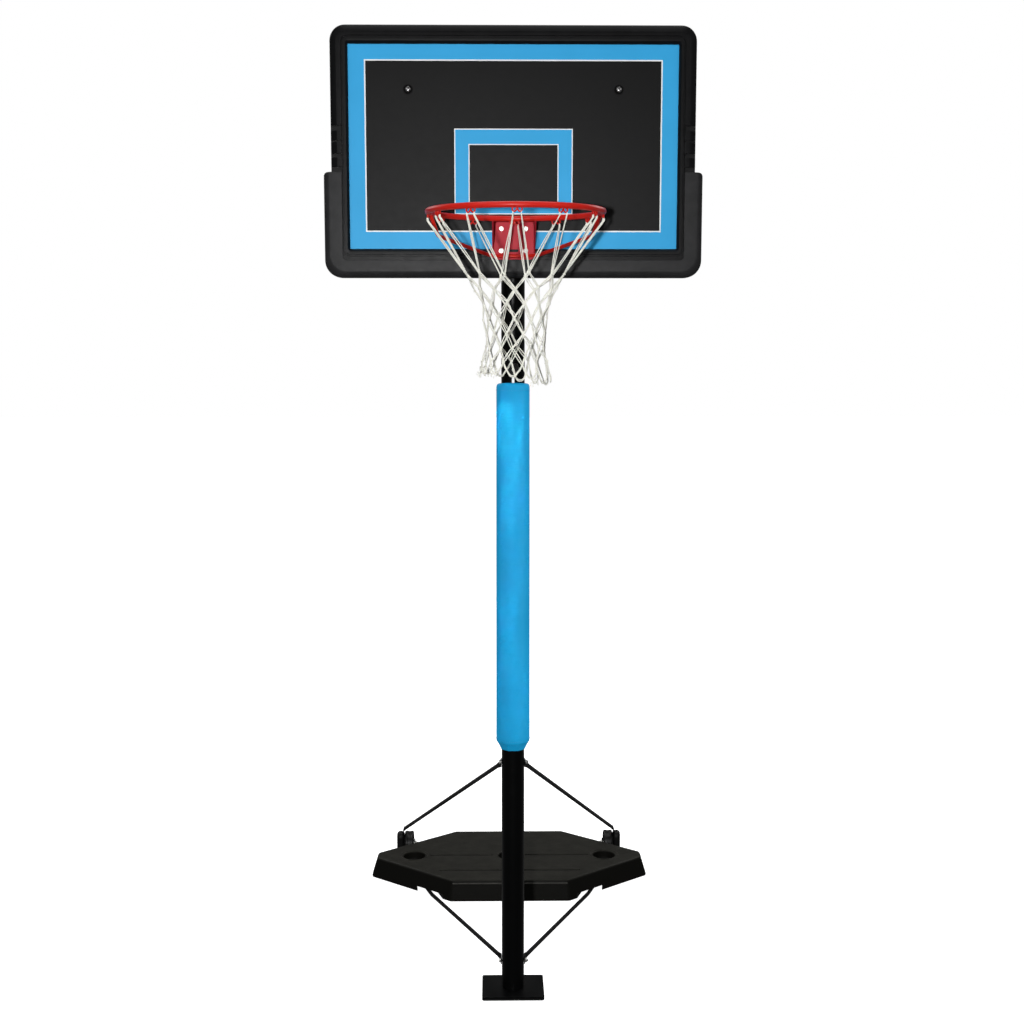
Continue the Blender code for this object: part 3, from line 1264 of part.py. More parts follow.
def make_rim(mast):
    """The ring with its hooks, the folded bracket, the brace rod and the rim bolts."""
    ring_place = (0, RING_Y, RIM_Z)
    ring = add_part("rim_ring", ring_mesh("rim_ring", RING_ROD_R, ROD_SIDES), RED_PAINT, mast,
                    ring_place)
    hooks = add_tool("ring_hooks", hook_set_mesh("ring_hooks"), ring_place)
    combine(ring, hooks, "UNION")
    clearance = ring_clearance()

    low = RIM_Z - RIM_BRACKET_DROP
    top = RIM_Z + RIM_BRACKET_THICK
    back = BOARD_FACE_Y - GAP
    front = back - RIM_BRACKET_THICK
    half = RIM_BRACKET_HALF
    corner = RIM_BRACKET_CORNER
    edge = [(half, top), (-half, top)]
    edge.extend(arc_points((-half + corner, low + corner), corner, 180, 270, 4))
    edge.extend(arc_points((half - corner, low + corner), corner, 270, 360, 4))
    holes = [hole_outline(x, z, BOLT_HOLE_R) for x, z in rim_bolt_places()]
    slot_z = RIM_Z - RIM_BOLT_DROPS[1]
    slot = rounded_rectangle(-SLOT_HALF, SLOT_HALF, slot_z - SLOT_HEIGHT / 2,
                             slot_z + SLOT_HEIGHT / 2, SLOT_HEIGHT / 3, 1)
    bracket = add_part("rim_bracket",
                       upright_plate("rim_bracket", [edge, slot] + holes, front, back),
                       BRACKET_RED, mast)
    reach_y = RING_Y + RING_R
    root_y = front + RIM_BRACKET_THICK / 2
    shelf = box_mesh("rim_shelf", (-half, reach_y, RIM_Z - GAP), (half, root_y, top - GAP))
    combine(bracket, add_tool("rim_shelf", shelf), "UNION")
    gusset_low = RIM_Z - BRACE_DROP + BRACE_ROD_R + GAP * 4
    gusset_y = reach_y + RING_ROD_R
    gusset = [(root_y, RIM_Z + GAP * 2), (gusset_y, RIM_Z + GAP * 2), (gusset_y, RIM_Z - RING_ROD_R),
              (root_y, gusset_low)]
    for side, label in ((-1, "left"), (1, "right")):
        mesh = side_plate(f"{label}_gusset", [gusset], RIM_BRACKET_THICK,
                          side * (half - RIM_BRACKET_THICK * 0.55))
        combine(bracket, add_tool(f"{label}_gusset", mesh), "UNION")
    combine(bracket, clearance, "DIFFERENCE")

    rod_y = front - GAP - BRACE_ROD_R
    rod_z = RIM_Z - BRACE_DROP
    end_x = RING_R * math.cos(BRACE_ANGLE)
    end_y = RING_Y + RING_R * math.sin(BRACE_ANGLE)
    side_path = [
        (BRACE_WRAP_HALF, rod_y, rod_z),
        (BRACE_SHOULDER_X, rod_y - BRACE_SHOULDER_Y, rod_z + BRACE_SHOULDER_Z),
        (end_x - BRACE_ELBOW_X, end_y + BRACE_ELBOW_Y, rod_z + BRACE_ELBOW_Z),
        (end_x, end_y, RIM_Z),
    ]
    route = [(-x, y, z) for x, y, z in reversed(side_path)] + side_path
    path = bent_path(route, BRACE_BEND_R)
    rod = add_part("rim_brace", rod_mesh("rim_brace", path, BRACE_ROD_R, 2), RED_PAINT, mast)
    combine(rod, clearance, "DIFFERENCE")

    seat_y = front - GAP
    nut_y = PANEL_BACK_Y + GAP + BRACKET_THICK + GAP
    for number, (x, z) in enumerate(rim_bolt_places(), start=1):
        hex_bolt(f"rim_bolt_{number}", mast, (x, seat_y, z), "+Y",
                 nut_y - seat_y + NUT_HEIGHT + BOLT_TIP, nut_at=nut_y - seat_y)


def net_radius(share):
    """The net's radius at a share of its length below the hooks, as it hangs."""
    for (low, low_r), (high, high_r) in zip(NET_SHAPE, NET_SHAPE[1:]):
        if share <= high:
            part = (share - low) / (high - low)
            return RING_R * (low_r + (high_r - low_r) * part)
    return RING_R * NET_SHAPE[-1][1]


def make_net(mast):
    """The net: a tube of diamonds hung from the hooks, as one lattice of cords."""
    top_z = RIM_Z - HOOK_DEPTH - HOOK_ROD_R - NET_CORD_R - GAP * 2
    shares = [0.0] + [NET_TOP_SHARE + (1 - NET_TOP_SHARE) * row / (NET_ROWS - 2)
                      for row in range(NET_ROWS - 1)]
    work = bmesh.new()
    rows = []
    for row, share in enumerate(shares):
        radius = net_radius(share)
        ring = []
        for index in range(HOOKS):
            angle = 2 * math.pi * (index + 0.5 * (row % 2)) / HOOKS - math.pi / 2
            place = (radius * math.cos(angle), radius * math.sin(angle), -share * NET_LENGTH)
            ring.append(work.verts.new(place))
        rows.append(ring)
    for row in range(len(rows) - 2):
        upper, middle, lower = rows[row:row + 3]
        for index in range(HOOKS):
            if row % 2 == 0:
                left, right = middle[index - 1], middle[index]
            else:
                left, right = middle[index], middle[(index + 1) % HOOKS]
            work.faces.new((upper[index], left, lower[index], right))
    mesh = bpy.data.meshes.new("net")
    work.to_mesh(mesh)
    work.free()
    net = add_part("net", mesh, NET_WHITE, mast, (0, RING_Y, top_z))
    cords = net.modifiers.new("cords", "WIREFRAME")
    cords.thickness = NET_CORD_R * 2
    cords.use_boundary = True
    cords.use_even_offset = True
    cords.use_relative_offset = False
    cords.use_replace = True


def make_hoop():
    """Builds every sub-assembly."""
    stand = new_body("stand", (0, 0, 0))
    mast = new_body("mast", (0, 0, POLE_TOP_Z))
    make_poles(stand, mast)
    make_pad(stand)
    make_foot(stand)
    lock_place = (0, 0, LOCK_Z)
    make_height_lock(stand, new_body("stud_body", lock_place), new_body("knob_body", lock_place))
    make_tank(stand)
    cap_place = (0, WELL_Y, WELL_FLOOR_Z)
    make_filler(new_body("seal_body", cap_place), new_body("cap_body", cap_place))
    make_strut_bolts(stand)
    for side, label in ((-1, "left"), (1, "right")):
        wheel_body = new_body(f"{label}_wheel_body", (side * WHEEL_X, WHEEL_Y, WHEEL_Z))
        make_wheel(wheel_body, side, label)
        make_base_fixings(stand, side, label)
        make_struts(stand, side, label)
    make_board(mast)
    make_board_mounting(mast)
    make_rim(mast)
    make_net(mast)


make_hoop()
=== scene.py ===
"""Portable basketball hoop: finer pieces, finishes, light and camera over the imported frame."""

import json
import logging
import math
from dataclasses import dataclass, field
from enum import Enum
from typing import Any, Callable, Iterable, Optional, Sequence, Union

import bmesh
import bpy
from mathutils import Matrix, Vector
from mathutils.bvhtree import BVHTree

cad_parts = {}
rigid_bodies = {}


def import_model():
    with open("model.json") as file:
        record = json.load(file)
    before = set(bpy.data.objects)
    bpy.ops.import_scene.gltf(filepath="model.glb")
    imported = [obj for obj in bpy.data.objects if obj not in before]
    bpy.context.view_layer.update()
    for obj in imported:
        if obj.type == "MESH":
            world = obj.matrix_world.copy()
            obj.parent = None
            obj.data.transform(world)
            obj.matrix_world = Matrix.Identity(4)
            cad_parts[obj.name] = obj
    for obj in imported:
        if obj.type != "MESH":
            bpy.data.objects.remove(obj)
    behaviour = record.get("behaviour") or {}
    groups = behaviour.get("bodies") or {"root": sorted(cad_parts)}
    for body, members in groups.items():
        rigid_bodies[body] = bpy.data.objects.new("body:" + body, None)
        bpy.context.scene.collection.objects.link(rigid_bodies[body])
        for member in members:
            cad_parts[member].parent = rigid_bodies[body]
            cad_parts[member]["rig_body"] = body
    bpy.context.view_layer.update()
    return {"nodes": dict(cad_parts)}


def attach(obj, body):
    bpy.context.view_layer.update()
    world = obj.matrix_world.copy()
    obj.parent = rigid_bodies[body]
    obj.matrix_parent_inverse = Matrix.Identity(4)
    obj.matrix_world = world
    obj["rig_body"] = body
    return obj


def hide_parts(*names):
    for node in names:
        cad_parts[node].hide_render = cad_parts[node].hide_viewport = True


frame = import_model()
LOG = logging.getLogger("hoop")

Colour = tuple[float, float, float, float]
Value = Union["Sock", float, tuple]
Path = list[Vector]

Edges = tuple[float, float, float, float]

STAND, MAST = "stand", "mast"
SIDES = ((-1, "left"), (1, "right"))
WORLD_UP = Vector((0, 0, 1))
GAP = 0.0003
RING_Y = -0.491
BOARD_BOLT = (0.309, 2.829)
POLE_BOLT_Z = (0.765, 0.100)
POLE_LUG_X = 0.0381
WELL = (0.373, 0.985)
AXLE = (1.200, 0.052)
FLAT_ANGLE = 0.6


# Node trees


class Sock:
    """An output socket that plain Python arithmetic can be written with."""

    def __init__(self, graph: "Graph", socket: bpy.types.NodeSocket) -> None:
        """Keeps the tree's builder and the output socket."""
        self.graph = graph
        self.socket = socket

    def other(self, name: str) -> "Sock":
        """The output of the same node that has this name."""
        return Sock(self.graph, self.socket.node.outputs[name])

    def math(self, operation: str, *values: Value, clamp: bool = False) -> "Sock":
        """The result of a Math node with these inputs, held between 0 and 1 on request."""
        settings = {"operation": operation, "use_clamp": clamp}
        return self.graph.add("ShaderNodeMath", settings, dict(enumerate(values)))

    def __add__(self, other: Value) -> "Sock":
        """The sum."""
        return self.math("ADD", self, other)

    def __radd__(self, other: Value) -> "Sock":
        """The sum with the socket on the right."""
        return self.math("ADD", other, self)

    def __sub__(self, other: Value) -> "Sock":
        """The difference."""
        return self.math("SUBTRACT", self, other)

    def __rsub__(self, other: Value) -> "Sock":
        """The difference with the socket on the right."""
        return self.math("SUBTRACT", other, self)

    def __mul__(self, other: Value) -> "Sock":
        """The product."""
        return self.math("MULTIPLY", self, other)

    def __rmul__(self, other: Value) -> "Sock":
        """The product with the socket on the right."""
        return self.math("MULTIPLY", other, self)

    def __truediv__(self, other: Value) -> "Sock":
        """The quotient."""
        return self.math("DIVIDE", self, other)

    def clamped(self) -> "Sock":
        """The value held between 0 and 1."""
        return self.math("ADD", self, 0.0, clamp=True)

    def over(self, low: float, high: float) -> "Sock":
        """The span from low to high spread over 0 to 1, held at both ends."""
        return self.graph.add("ShaderNodeMapRange", {"clamp": True},
                              {"Value": self, "From Min": low, "From Max": high})


class Graph:
    """Builds the nodes of one tree."""

    def __init__(self, tree: bpy.types.NodeTree) -> None:
        """Keeps the tree that the nodes go into."""
        self.tree = tree

    def add(self, kind: str, settings: Optional[dict[str, Any]] = None,
            inputs: Optional[dict[Any, Any]] = None, out: Union[int, str] = 0) -> Sock:
        """Adds one node.

        Args:
            kind: The node's type.
            settings: Its properties, set first; "stops" holds a ramp's positions and colours.
            inputs: Values or sockets by input name or number; a list joins several.
            out: The name or number of the output that is wanted.

        Returns:
            That output.
        """
        node = self.tree.nodes.new(kind)
        for name, value in (settings or {}).items():
            if name == "stops":
                self._set_stops(node.color_ramp, value)
            else:
                setattr(node, name, value)
        for key, value in (inputs or {}).items():
            for item in value if isinstance(value, list) else [value]:
                if isinstance(item, Sock):
                    self.tree.links.new(item.socket, node.inputs[key])
                else:
                    node.inputs[key].default_value = item
        return Sock(self, node.outputs[out]) if len(node.outputs) else Sock(self, None)

    @staticmethod
    def _set_stops(ramp: bpy.types.ColorRamp, stops: Sequence[tuple[float, Colour]]) -> None:
        """Gives a ramp its stops, each a position and a colour."""
        while len(ramp.elements) < len(stops):
            ramp.elements.new(1.0)
        for element, (position, colour) in zip(ramp.elements, stops):
            element.position, element.color = position, colour

    def place(self) -> Sock:
        """The Object coordinates of the surface."""
        return self.add("ShaderNodeTexCoord", out="Object")

    def axes(self, vector: Optional[Sock] = None) -> Sock:
        """A vector's parts, with X as the first output."""
        return self.add("ShaderNodeSeparateXYZ", inputs={0: vector or self.place()})

    def stretched(self, scale: tuple[float, float, float]) -> Sock:
        """The Object coordinates multiplied axis by axis."""
        return self.add("ShaderNodeMapping", inputs={"Vector": self.place(), "Scale": scale})

    def noise(self, scale: float, detail: float = 3.0, vector: Optional[Sock] = None,
              roughness: float = 0.5) -> Sock:
        """Soft random values round 0.5, with so many blotches to a metre."""
        return self.add("ShaderNodeTexNoise", inputs={
            "Vector": vector or self.place(), "Scale": scale, "Detail": detail,
            "Roughness": roughness})

    def cells(self, scale: float, feature: str = "F1", vector: Optional[Sock] = None) -> Sock:
        """The distances of a cell pattern with so many cells to a metre."""
        return self.add("ShaderNodeTexVoronoi", {"feature": feature},
                        {"Vector": vector or self.place(), "Scale": scale}, "Distance")

    def blend(self, factor: Value, first: Any, second: Any, how: str = "MIX") -> Sock:
        """Two colours mixed, with the factor as the second one's share."""
        return self.add("ShaderNodeMix", {"data_type": "RGBA", "blend_type": how},
                        {0: factor, 6: first, 7: second}, 2)

    def bump(self, height: Sock, strength: float, distance: float,
             under: Optional[Sock] = None) -> Sock:
        """Turns heights into a surface direction.

        Args:
            height: The heights.
            strength: How strongly they act.
            distance: What one unit of height is, in metres.
            under: A bump that lies under this one.

        Returns:
            The direction for a shader's Normal.
        """
        inputs = {"Height": height, "Strength": strength, "Distance": distance}
        if under is not None:
            inputs["Normal"] = under
        return self.add("ShaderNodeBump", inputs=inputs)


def geometry_tree(name: str, inputs: dict[str, tuple[str, Any]],
                  build: Callable[[Graph, dict[str, Sock]], Sock]) -> bpy.types.NodeTree:
    """Makes a Geometry Nodes tree with named inputs.

    Args:
        name: The tree's name.
        inputs: Each input's socket type and default, by name; Geometry and Material are added.
        build: Takes the builder and the inputs, and returns the geometry before the material.

    Returns:
        The tree, which realizes its instances and sets the material last.
    """
    tree = bpy.data.node_groups.new(name, "GeometryNodeTree")
    tree.interface.new_socket("Geometry", in_out="INPUT", socket_type="NodeSocketGeometry")
    every = dict(inputs)
    every["Material"] = ("NodeSocketMaterial", None)
    for label, (kind, default) in every.items():
        item = tree.interface.new_socket(label, in_out="INPUT", socket_type=kind)
        if default is not None:
            item.default_value = default
    tree.interface.new_socket("Geometry", in_out="OUTPUT", socket_type="NodeSocketGeometry")
    graph = Graph(tree)
    entry = tree.nodes.new("NodeGroupInput")
    socks = {output.name: Sock(graph, output) for output in entry.outputs if output.name}
    shape = build(graph, socks)
    real = graph.add("GeometryNodeRealizeInstances", inputs={"Geometry": shape})
    painted = graph.add("GeometryNodeSetMaterial",
                        inputs={"Geometry": real, "Material": socks["Material"]})
    graph.add("NodeGroupOutput", inputs={0: painted})
    return tree


def grown(start: bpy.types.Mesh, tree: bpy.types.NodeTree, values: dict[str, Any],
          finish: "Finish") -> bpy.types.Mesh:
    """Runs a mesh through a Geometry Nodes tree.

    Args:
        start: The mesh that goes in.
        tree: The tree.
        values: The inputs that differ from their defaults, by name.
        finish: The finish of what comes out.

    Returns:
        The plain mesh that comes out.
    """
    holder = linked("grown", start)
    modifier = holder.modifiers.new("shape", "NODES")
    modifier.node_group = tree
    every = {**values, "Material": finish.material()}
    for item in tree.interface.items_tree:
        if item.item_type == "SOCKET" and item.in_out == "INPUT" and item.name in every:
            modifier[item.identifier] = every[item.name]
    mesh = result_of(holder)
    holder.modifiers.remove(modifier)
    bpy.data.objects.remove(holder)
    return mesh


def linked(name: str, data: Optional[bpy.types.ID]) -> bpy.types.Object:
    """A new object in the scene."""
    obj = bpy.data.objects.new(name, data)
    bpy.context.scene.collection.objects.link(obj)
    return obj


def shader_graph(owner: Union[bpy.types.Material, bpy.types.World]) -> Graph:
    """The emptied node tree of a material or of the world."""
    owner.use_nodes = True
    owner.node_tree.nodes.clear()
    return Graph(owner.node_tree)


def result_of(obj: bpy.types.Object) -> bpy.types.Mesh:
    """The mesh that an object's modifiers give."""
    bpy.context.view_layer.update()
    shown = obj.evaluated_get(bpy.context.evaluated_depsgraph_get())
    return bpy.data.meshes.new_from_object(shown)


# Paths and meshes


def v3(x: float, y: float, z: float) -> Vector:
    """A point or a direction."""
    return Vector((x, y, z))


def polar(reach: float, turn: float, z: float, middle_y: float = 0.0) -> Vector:
    """The point at a reach and a turn from an upright axis that stands at X 0."""
    return v3(reach * math.cos(turn), middle_y + reach * math.sin(turn), z)


def full_turn(count: int, start: float = 0.0) -> list[float]:
    """The angles of so many equal steps round a full turn."""
    return [start + 2 * math.pi * index / count for index in range(count)]


def arc(x: float, z: float, radius: float, start: float, sweep: float,
        steps: int) -> list[tuple[float, float]]:
    """The points of an arc round a centre, with its start and its sweep in degrees."""
    angles = [math.radians(start + sweep * step / steps) for step in range(steps + 1)]
    return [(x + radius * math.cos(angle), z + radius * math.sin(angle)) for angle in angles]


def rounded_rectangle(low_x: float, high_x: float, low_z: float, high_z: float, radius: float,
                      steps: int = 6) -> list[tuple[float, float]]:
    """A rectangle with rounded corners, which has the same number of points at any radius.

    Args:
        low_x: The left side.
        high_x: The right side.
        low_z: The bottom.
        high_z: The top.
        radius: The corners' radius.
        steps: The parts of each corner.

    Returns:
        The points, anticlockwise from the lower right corner.
    """
    reach = max(radius, 0.0002)
    centres = ((high_x - reach, low_z + reach, 270), (high_x - reach, high_z - reach, 0),
               (low_x + reach, high_z - reach, 90), (low_x + reach, low_z + reach, 180))
    points = []
    for x, z, start in centres:
        points += arc(x, z, reach, start, 90, steps)
    return points


def eased(corners: Sequence[Vector], radius: float, steps: int = 8) -> Path:
    """A path with its corners rounded.

    Args:
        corners: The path's corners with both ends.
        radius: The bends' radius.
        steps: The parts of each bend.

    Returns:
        The points of the rounded path.
    """
    points = [Vector(corners[0])]
    for before, corner, after in zip(corners, corners[1:], corners[2:]):
        back, on = Vector(before) - Vector(corner), Vector(after) - Vector(corner)
        turn = math.pi - back.angle(on)
        reach = min(radius * math.tan(turn / 2), back.length * 0.45, on.length * 0.45)
        start, end = corner + back.normalized() * reach, corner + on.normalized() * reach
        for step in range(steps + 1):
            share = step / steps
            points.append(start * (1 - share) ** 2 + Vector(corner) * 2 * share * (1 - share)
                          + end * share ** 2)
    points.append(Vector(corners[-1]))
    return points


def flowing(points: Sequence[Vector], steps: int = 4) -> Path:
    """A smooth path through every point."""
    ends = [points[0] * 2 - points[1], *points, points[-1] * 2 - points[-2]]
    path = []
    for a, b, c, d in zip(ends, ends[1:], ends[2:], ends[3:]):
        for step in range(steps):
            t = step / steps
            path.append(0.5 * (2 * b + (c - a) * t + (2 * a - 5 * b + 4 * c - d) * t ** 2
                               + (3 * b - a - 3 * c + d) * t ** 3))
    path.append(Vector(points[-1]))
    return path


def new_mesh(name: str, fill: Callable[[bmesh.types.BMesh], None],
             outward: bool = True) -> bpy.types.Mesh:
    """A mesh filled by a function.

    Args:
        name: The mesh's name.
        fill: Adds the vertices and faces.
        outward: Whether the faces are then turned to point outwards.

    Returns:
        The mesh.
    """
    work = bmesh.new()
    fill(work)
    if outward:
        bmesh.ops.remove_doubles(work, verts=work.verts, dist=1e-6)
        bmesh.ops.recalc_face_normals(work, faces=work.faces)
    mesh = bpy.data.meshes.new(name)
    work.to_mesh(mesh)
    work.free()
    return mesh


def skinned(name: str, rings: Sequence[Sequence[Vector]], closed: bool = False,
            capped: bool = True) -> bpy.types.Mesh:
    """A skin over rings that have equally many points.

    Args:
        name: The mesh's name.
        rings: The rings in order.
        closed: Whether the last ring joins the first.
        capped: Whether both ends are closed where they don't join.

    Returns:
        The mesh.
    """

    def fill(work: bmesh.types.BMesh) -> None:
        """Adds the rings and the faces between them."""
        rows = [[work.verts.new(point) for point in ring] for ring in rings]
        pairs = list(zip(rows, rows[1:]))
        if closed:
            pairs.append((rows[-1], rows[0]))
        for low, high in pairs:
            for index in range(len(low)):
                after = (index + 1) % len(low)
                work.faces.new((low[index], low[after], high[after], high[index]))
        if capped and not closed:
            work.faces.new(rows[0][::-1])
            work.faces.new(rows[-1])

    return new_mesh(name, fill)


def lathed(name: str, profile: Sequence[tuple[float, float]], segments: int,
           place: Optional[Matrix] = None, closed: bool = True) -> bpy.types.Mesh:
    """A profile turned round the Z axis.

    Args:
        name: The mesh's name.
        profile: Each point's radius and height.
        segments: The parts of a full turn.
        place: Where the finished shape goes.
        closed: Whether the profile is a closed line.

    Returns:
        The mesh.
    """
    rings = [[polar(radius, turn, z) for turn in full_turn(segments)] for radius, z in profile]
    mesh = skinned(name, rings, closed=closed, capped=False)
    if place is not None:
        mesh.transform(place)
    return mesh


def softened_profile(profile: Sequence[tuple[float, float]], radius: float,
                     steps: int = 3) -> list[tuple[float, float]]:
    """A closed profile with every corner rounded."""
    points = [v3(r, 0, z) for r, z in profile]
    result = []
    for index, corner in enumerate(points):
        trio = [points[index - 1], corner, points[(index + 1) % len(points)]]
        result.extend((p.x, p.z) for p in eased(trio, radius, steps)[1:-1])
    return result


def boxed(name: str, low: Sequence[float], high: Sequence[float]) -> bpy.types.Mesh:
    """A box between two corners."""

    def fill(work: bmesh.types.BMesh) -> None:
        """Adds a unit cube in the box's place."""
        middle = [(a + b) / 2 for a, b in zip(low, high)]
        size = [b - a for a, b in zip(low, high)]
        bmesh.ops.create_cube(work, size=1.0,
                              matrix=Matrix.Translation(middle) @ Matrix.Diagonal((*size, 1)))

    return new_mesh(name, fill)


def wires(name: str, paths: Sequence[Sequence[Vector]], closed: bool = False) -> bpy.types.Mesh:
    """Lines of edges, one for each path, for a tree that makes tubes of them."""

    def fill(work: bmesh.types.BMesh) -> None:
        """Adds the edges."""
        for path in paths:
            points = [work.verts.new(point) for point in path]
            pairs = list(zip(points, points[1:]))
            if closed:
                pairs.append((points[-1], points[0]))
            for pair in pairs:
                work.edges.new(pair)

    return new_mesh(name, fill, outward=False)


def joined(name: str, meshes: Iterable[bpy.types.Mesh]) -> bpy.types.Mesh:
    """One mesh of several, whose own copies are then deleted."""
    work = bmesh.new()
    for mesh in meshes:
        work.from_mesh(mesh)
        bpy.data.meshes.remove(mesh)
    mesh = bpy.data.meshes.new(name)
    work.to_mesh(mesh)
    work.free()
    return mesh


def carved(mesh: bpy.types.Mesh, tools: Sequence[bpy.types.Mesh],
           operation: str = "DIFFERENCE") -> bpy.types.Mesh:
    """A mesh cut by, or joined with, each tool in turn.

    Args:
        mesh: The mesh to start from.
        tools: The meshes that cut or join it.
        operation: The Boolean modifier's operation.

    Returns:
        The result.
    """
    body, helpers = linked("carved", mesh), [linked("tool", tool) for tool in tools]
    for helper in helpers:
        modifier = body.modifiers.new("cut", "BOOLEAN")
        modifier.object, modifier.operation, modifier.solver = helper, operation, "EXACT"
    result = result_of(body)
    result.name = mesh.name
    for helper in [body, *helpers]:
        bpy.data.objects.remove(helper)
    return result


def bevelled(mesh: bpy.types.Mesh, width: float, segments: int = 2,
             angle: float = 35.0) -> bpy.types.Mesh:
    """A mesh with its sharp edges rounded.

    Args:
        mesh: The mesh to round.
        width: The bevels' width in metres.
        segments: The parts of each bevel.
        angle: The edges that are sharper than this, in degrees, are rounded.

    Returns:
        The rounded mesh.
    """
    body = linked("bevelled", mesh)
    modifier = body.modifiers.new("edges", "BEVEL")
    modifier.width, modifier.segments = width, segments
    modifier.limit_method, modifier.angle_limit = "ANGLE", math.radians(angle)
    modifier.use_clamp_overlap = True
    result = result_of(body)
    result.name = mesh.name
    bpy.data.objects.remove(body)
    return result


def eased_copy(node: str, width: float, segments: int = 2, angle: float = 40.0) -> bpy.types.Mesh:
    """A CAD node's own shape with its sharp edges rounded."""
    return bevelled(merged_copy(node), width, segments, angle)


def merged_copy(node: str) -> bpy.types.Mesh:
    """A CAD node's mesh, merged and with its flat triangles joined into faces."""
    mesh = frame["nodes"][node].data.copy()
    mesh.name = f"{node}_fine"
    work = bmesh.new()
    work.from_mesh(mesh)
    bmesh.ops.remove_doubles(work, verts=work.verts, dist=1e-5)
    bmesh.ops.dissolve_limit(work, angle_limit=math.radians(FLAT_ANGLE), verts=work.verts,
                             edges=work.edges)
    work.to_mesh(mesh)
    work.free()
    mesh.materials.clear()
    return mesh


def put(name: str, mesh: bpy.types.Mesh, finish: "Finish", body: str,
        stands_for: Sequence[str] = (), angle: float = 35.0) -> bpy.types.Object:
    """Puts a finished mesh into the scene as a piece of the object.

    Args:
        name: The piece's name.
        mesh: Its mesh, in the frame's own place.
        finish: Its finish.
        body: The body that it moves with.
        stands_for: The CAD nodes that it replaces.
        angle: Edges sharper than this, in degrees, stay sharp in the shading.

    Returns:
        The piece.
    """
    obj = linked(name, mesh)
    mesh.materials.clear()
    mesh.materials.append(finish.material())
    mesh.shade_smooth()
    mesh.set_sharp_from_angle(angle=math.radians(angle))
    modifier = obj.modifiers.new("shading", "WEIGHTED_NORMAL")
    modifier.keep_sharp = True
    obj.data = result_of(obj)
    obj.data.name = name
    obj.modifiers.remove(modifier)
    bpy.data.meshes.remove(mesh)
    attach(obj, body)
    if stands_for:
        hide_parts(*stands_for)
    LOG.info("%s: %d faces on %s", name, len(obj.data.polygons), body)
    return obj


# Finishes


@dataclass(frozen=True)
class Finish:
    """A finish with its name, the record's slot that it belongs to and its colour."""

    name: str
    slot: str
    colour: Colour
    roughness: float = 0.5
    specular: float = 0.5

    def material(self) -> bpy.types.Material:
        """The finish's material, made once."""
        found = bpy.data.materials.get(self.name)
        if found is not None:
            return found
        material = bpy.data.materials.new(self.name)
        graph = shader_graph(material)
        steady = {"Base Color": self.colour, "Roughness": self.roughness,
                  "Specular IOR Level": self.specular}
        shader = graph.add("ShaderNodeBsdfPrincipled", inputs={**steady, **self.surface(graph)})
        graph.add("ShaderNodeOutputMaterial", inputs={"Surface": shader})
        return material

    def surface(self, graph: Graph) -> dict[str, Any]:
        """The shader inputs that this finish adds or changes."""
        return {}

    def tinted(self, factor: float, lift: float = 0.0) -> Colour:
        """The colour made paler or darker by a factor, then lifted."""
        return tuple(min(1.0, c * factor + lift) for c in self.colour[:3]) + (1.0,)

    def uneven(self, graph: Graph, scale: float, detail: float, amount: float) -> Sock:
        """The roughness with soft blotches that change it."""
        return self.roughness + (graph.noise(scale, detail) - 0.5) * amount


@dataclass(frozen=True)
class PowderCoat(Finish):
    """Baked paint on steel, with a faint orange peel."""

    peel: float = 0.10
    mottle: float = 0.10

    def surface(self, graph: Graph) -> dict[str, Any]:
        """Slight mottling, uneven gloss and the peel."""
        patches = (graph.noise(9.0, 4.0) - 0.35) * 1.2
        return {
            "Base Color": graph.blend(patches, self.colour, self.tinted(1 + 2.2 * self.mottle)),
            "Roughness": self.uneven(graph, 40.0, 3.0, 0.14),
            "Normal": graph.bump(graph.noise(650.0, 2.0), self.peel, 0.0004),
        }


@dataclass(frozen=True)
class Zinc(Finish):
    """Bright zinc plating with a slightly uneven passivated tint."""

    def surface(self, graph: Graph) -> dict[str, Any]:
        """Patches of tint and of gloss over bare metal."""
        warm = (self.colour[0] * 0.92, self.colour[1] * 0.88, self.colour[2] * 0.76, 1.0)
        return {
            "Base Color": graph.blend(graph.noise(160.0, 3.0) * 0.5, self.colour, warm),
            "Metallic": 1.0,
            "Roughness": self.uneven(graph, 420.0, 2.0, 0.2),
            "Normal": graph.bump(graph.noise(900.0, 2.0), 0.12, 0.0002),
        }


@dataclass(frozen=True)
class MouldedPlastic(Finish):
    """Moulded plastic with a fine spark-eroded grain, slow changes of gloss and slow paler patches of
    painted sheen in its colour.
    """

    grain: float = 0.25
    wave: float = 0.0

    def surface(self, graph: Graph) -> dict[str, Any]:
        """Grain, long waves of the blown wall, uneven gloss, and paler patches of painted sheen in the
        colour.
        """
        grain = graph.bump(graph.noise(1100.0, 3.0, roughness=0.7), self.grain, 0.0004)
        if self.wave:
            grain = graph.bump(graph.noise(14.0, 2.0), self.wave, 0.006, under=grain)
        # Painted sheen: slow paler patches in the base colour stand in for uneven gloss.
        painted_sheen_patches = graph.noise(22.0, 5.0).over(0.35, 0.75)
        return {
            "Base Color": graph.blend(painted_sheen_patches, self.colour, self.tinted(1.45)),
            "Roughness": self.uneven(graph, 60.0, 4.0, 0.16),
            "Normal": grain,
        }


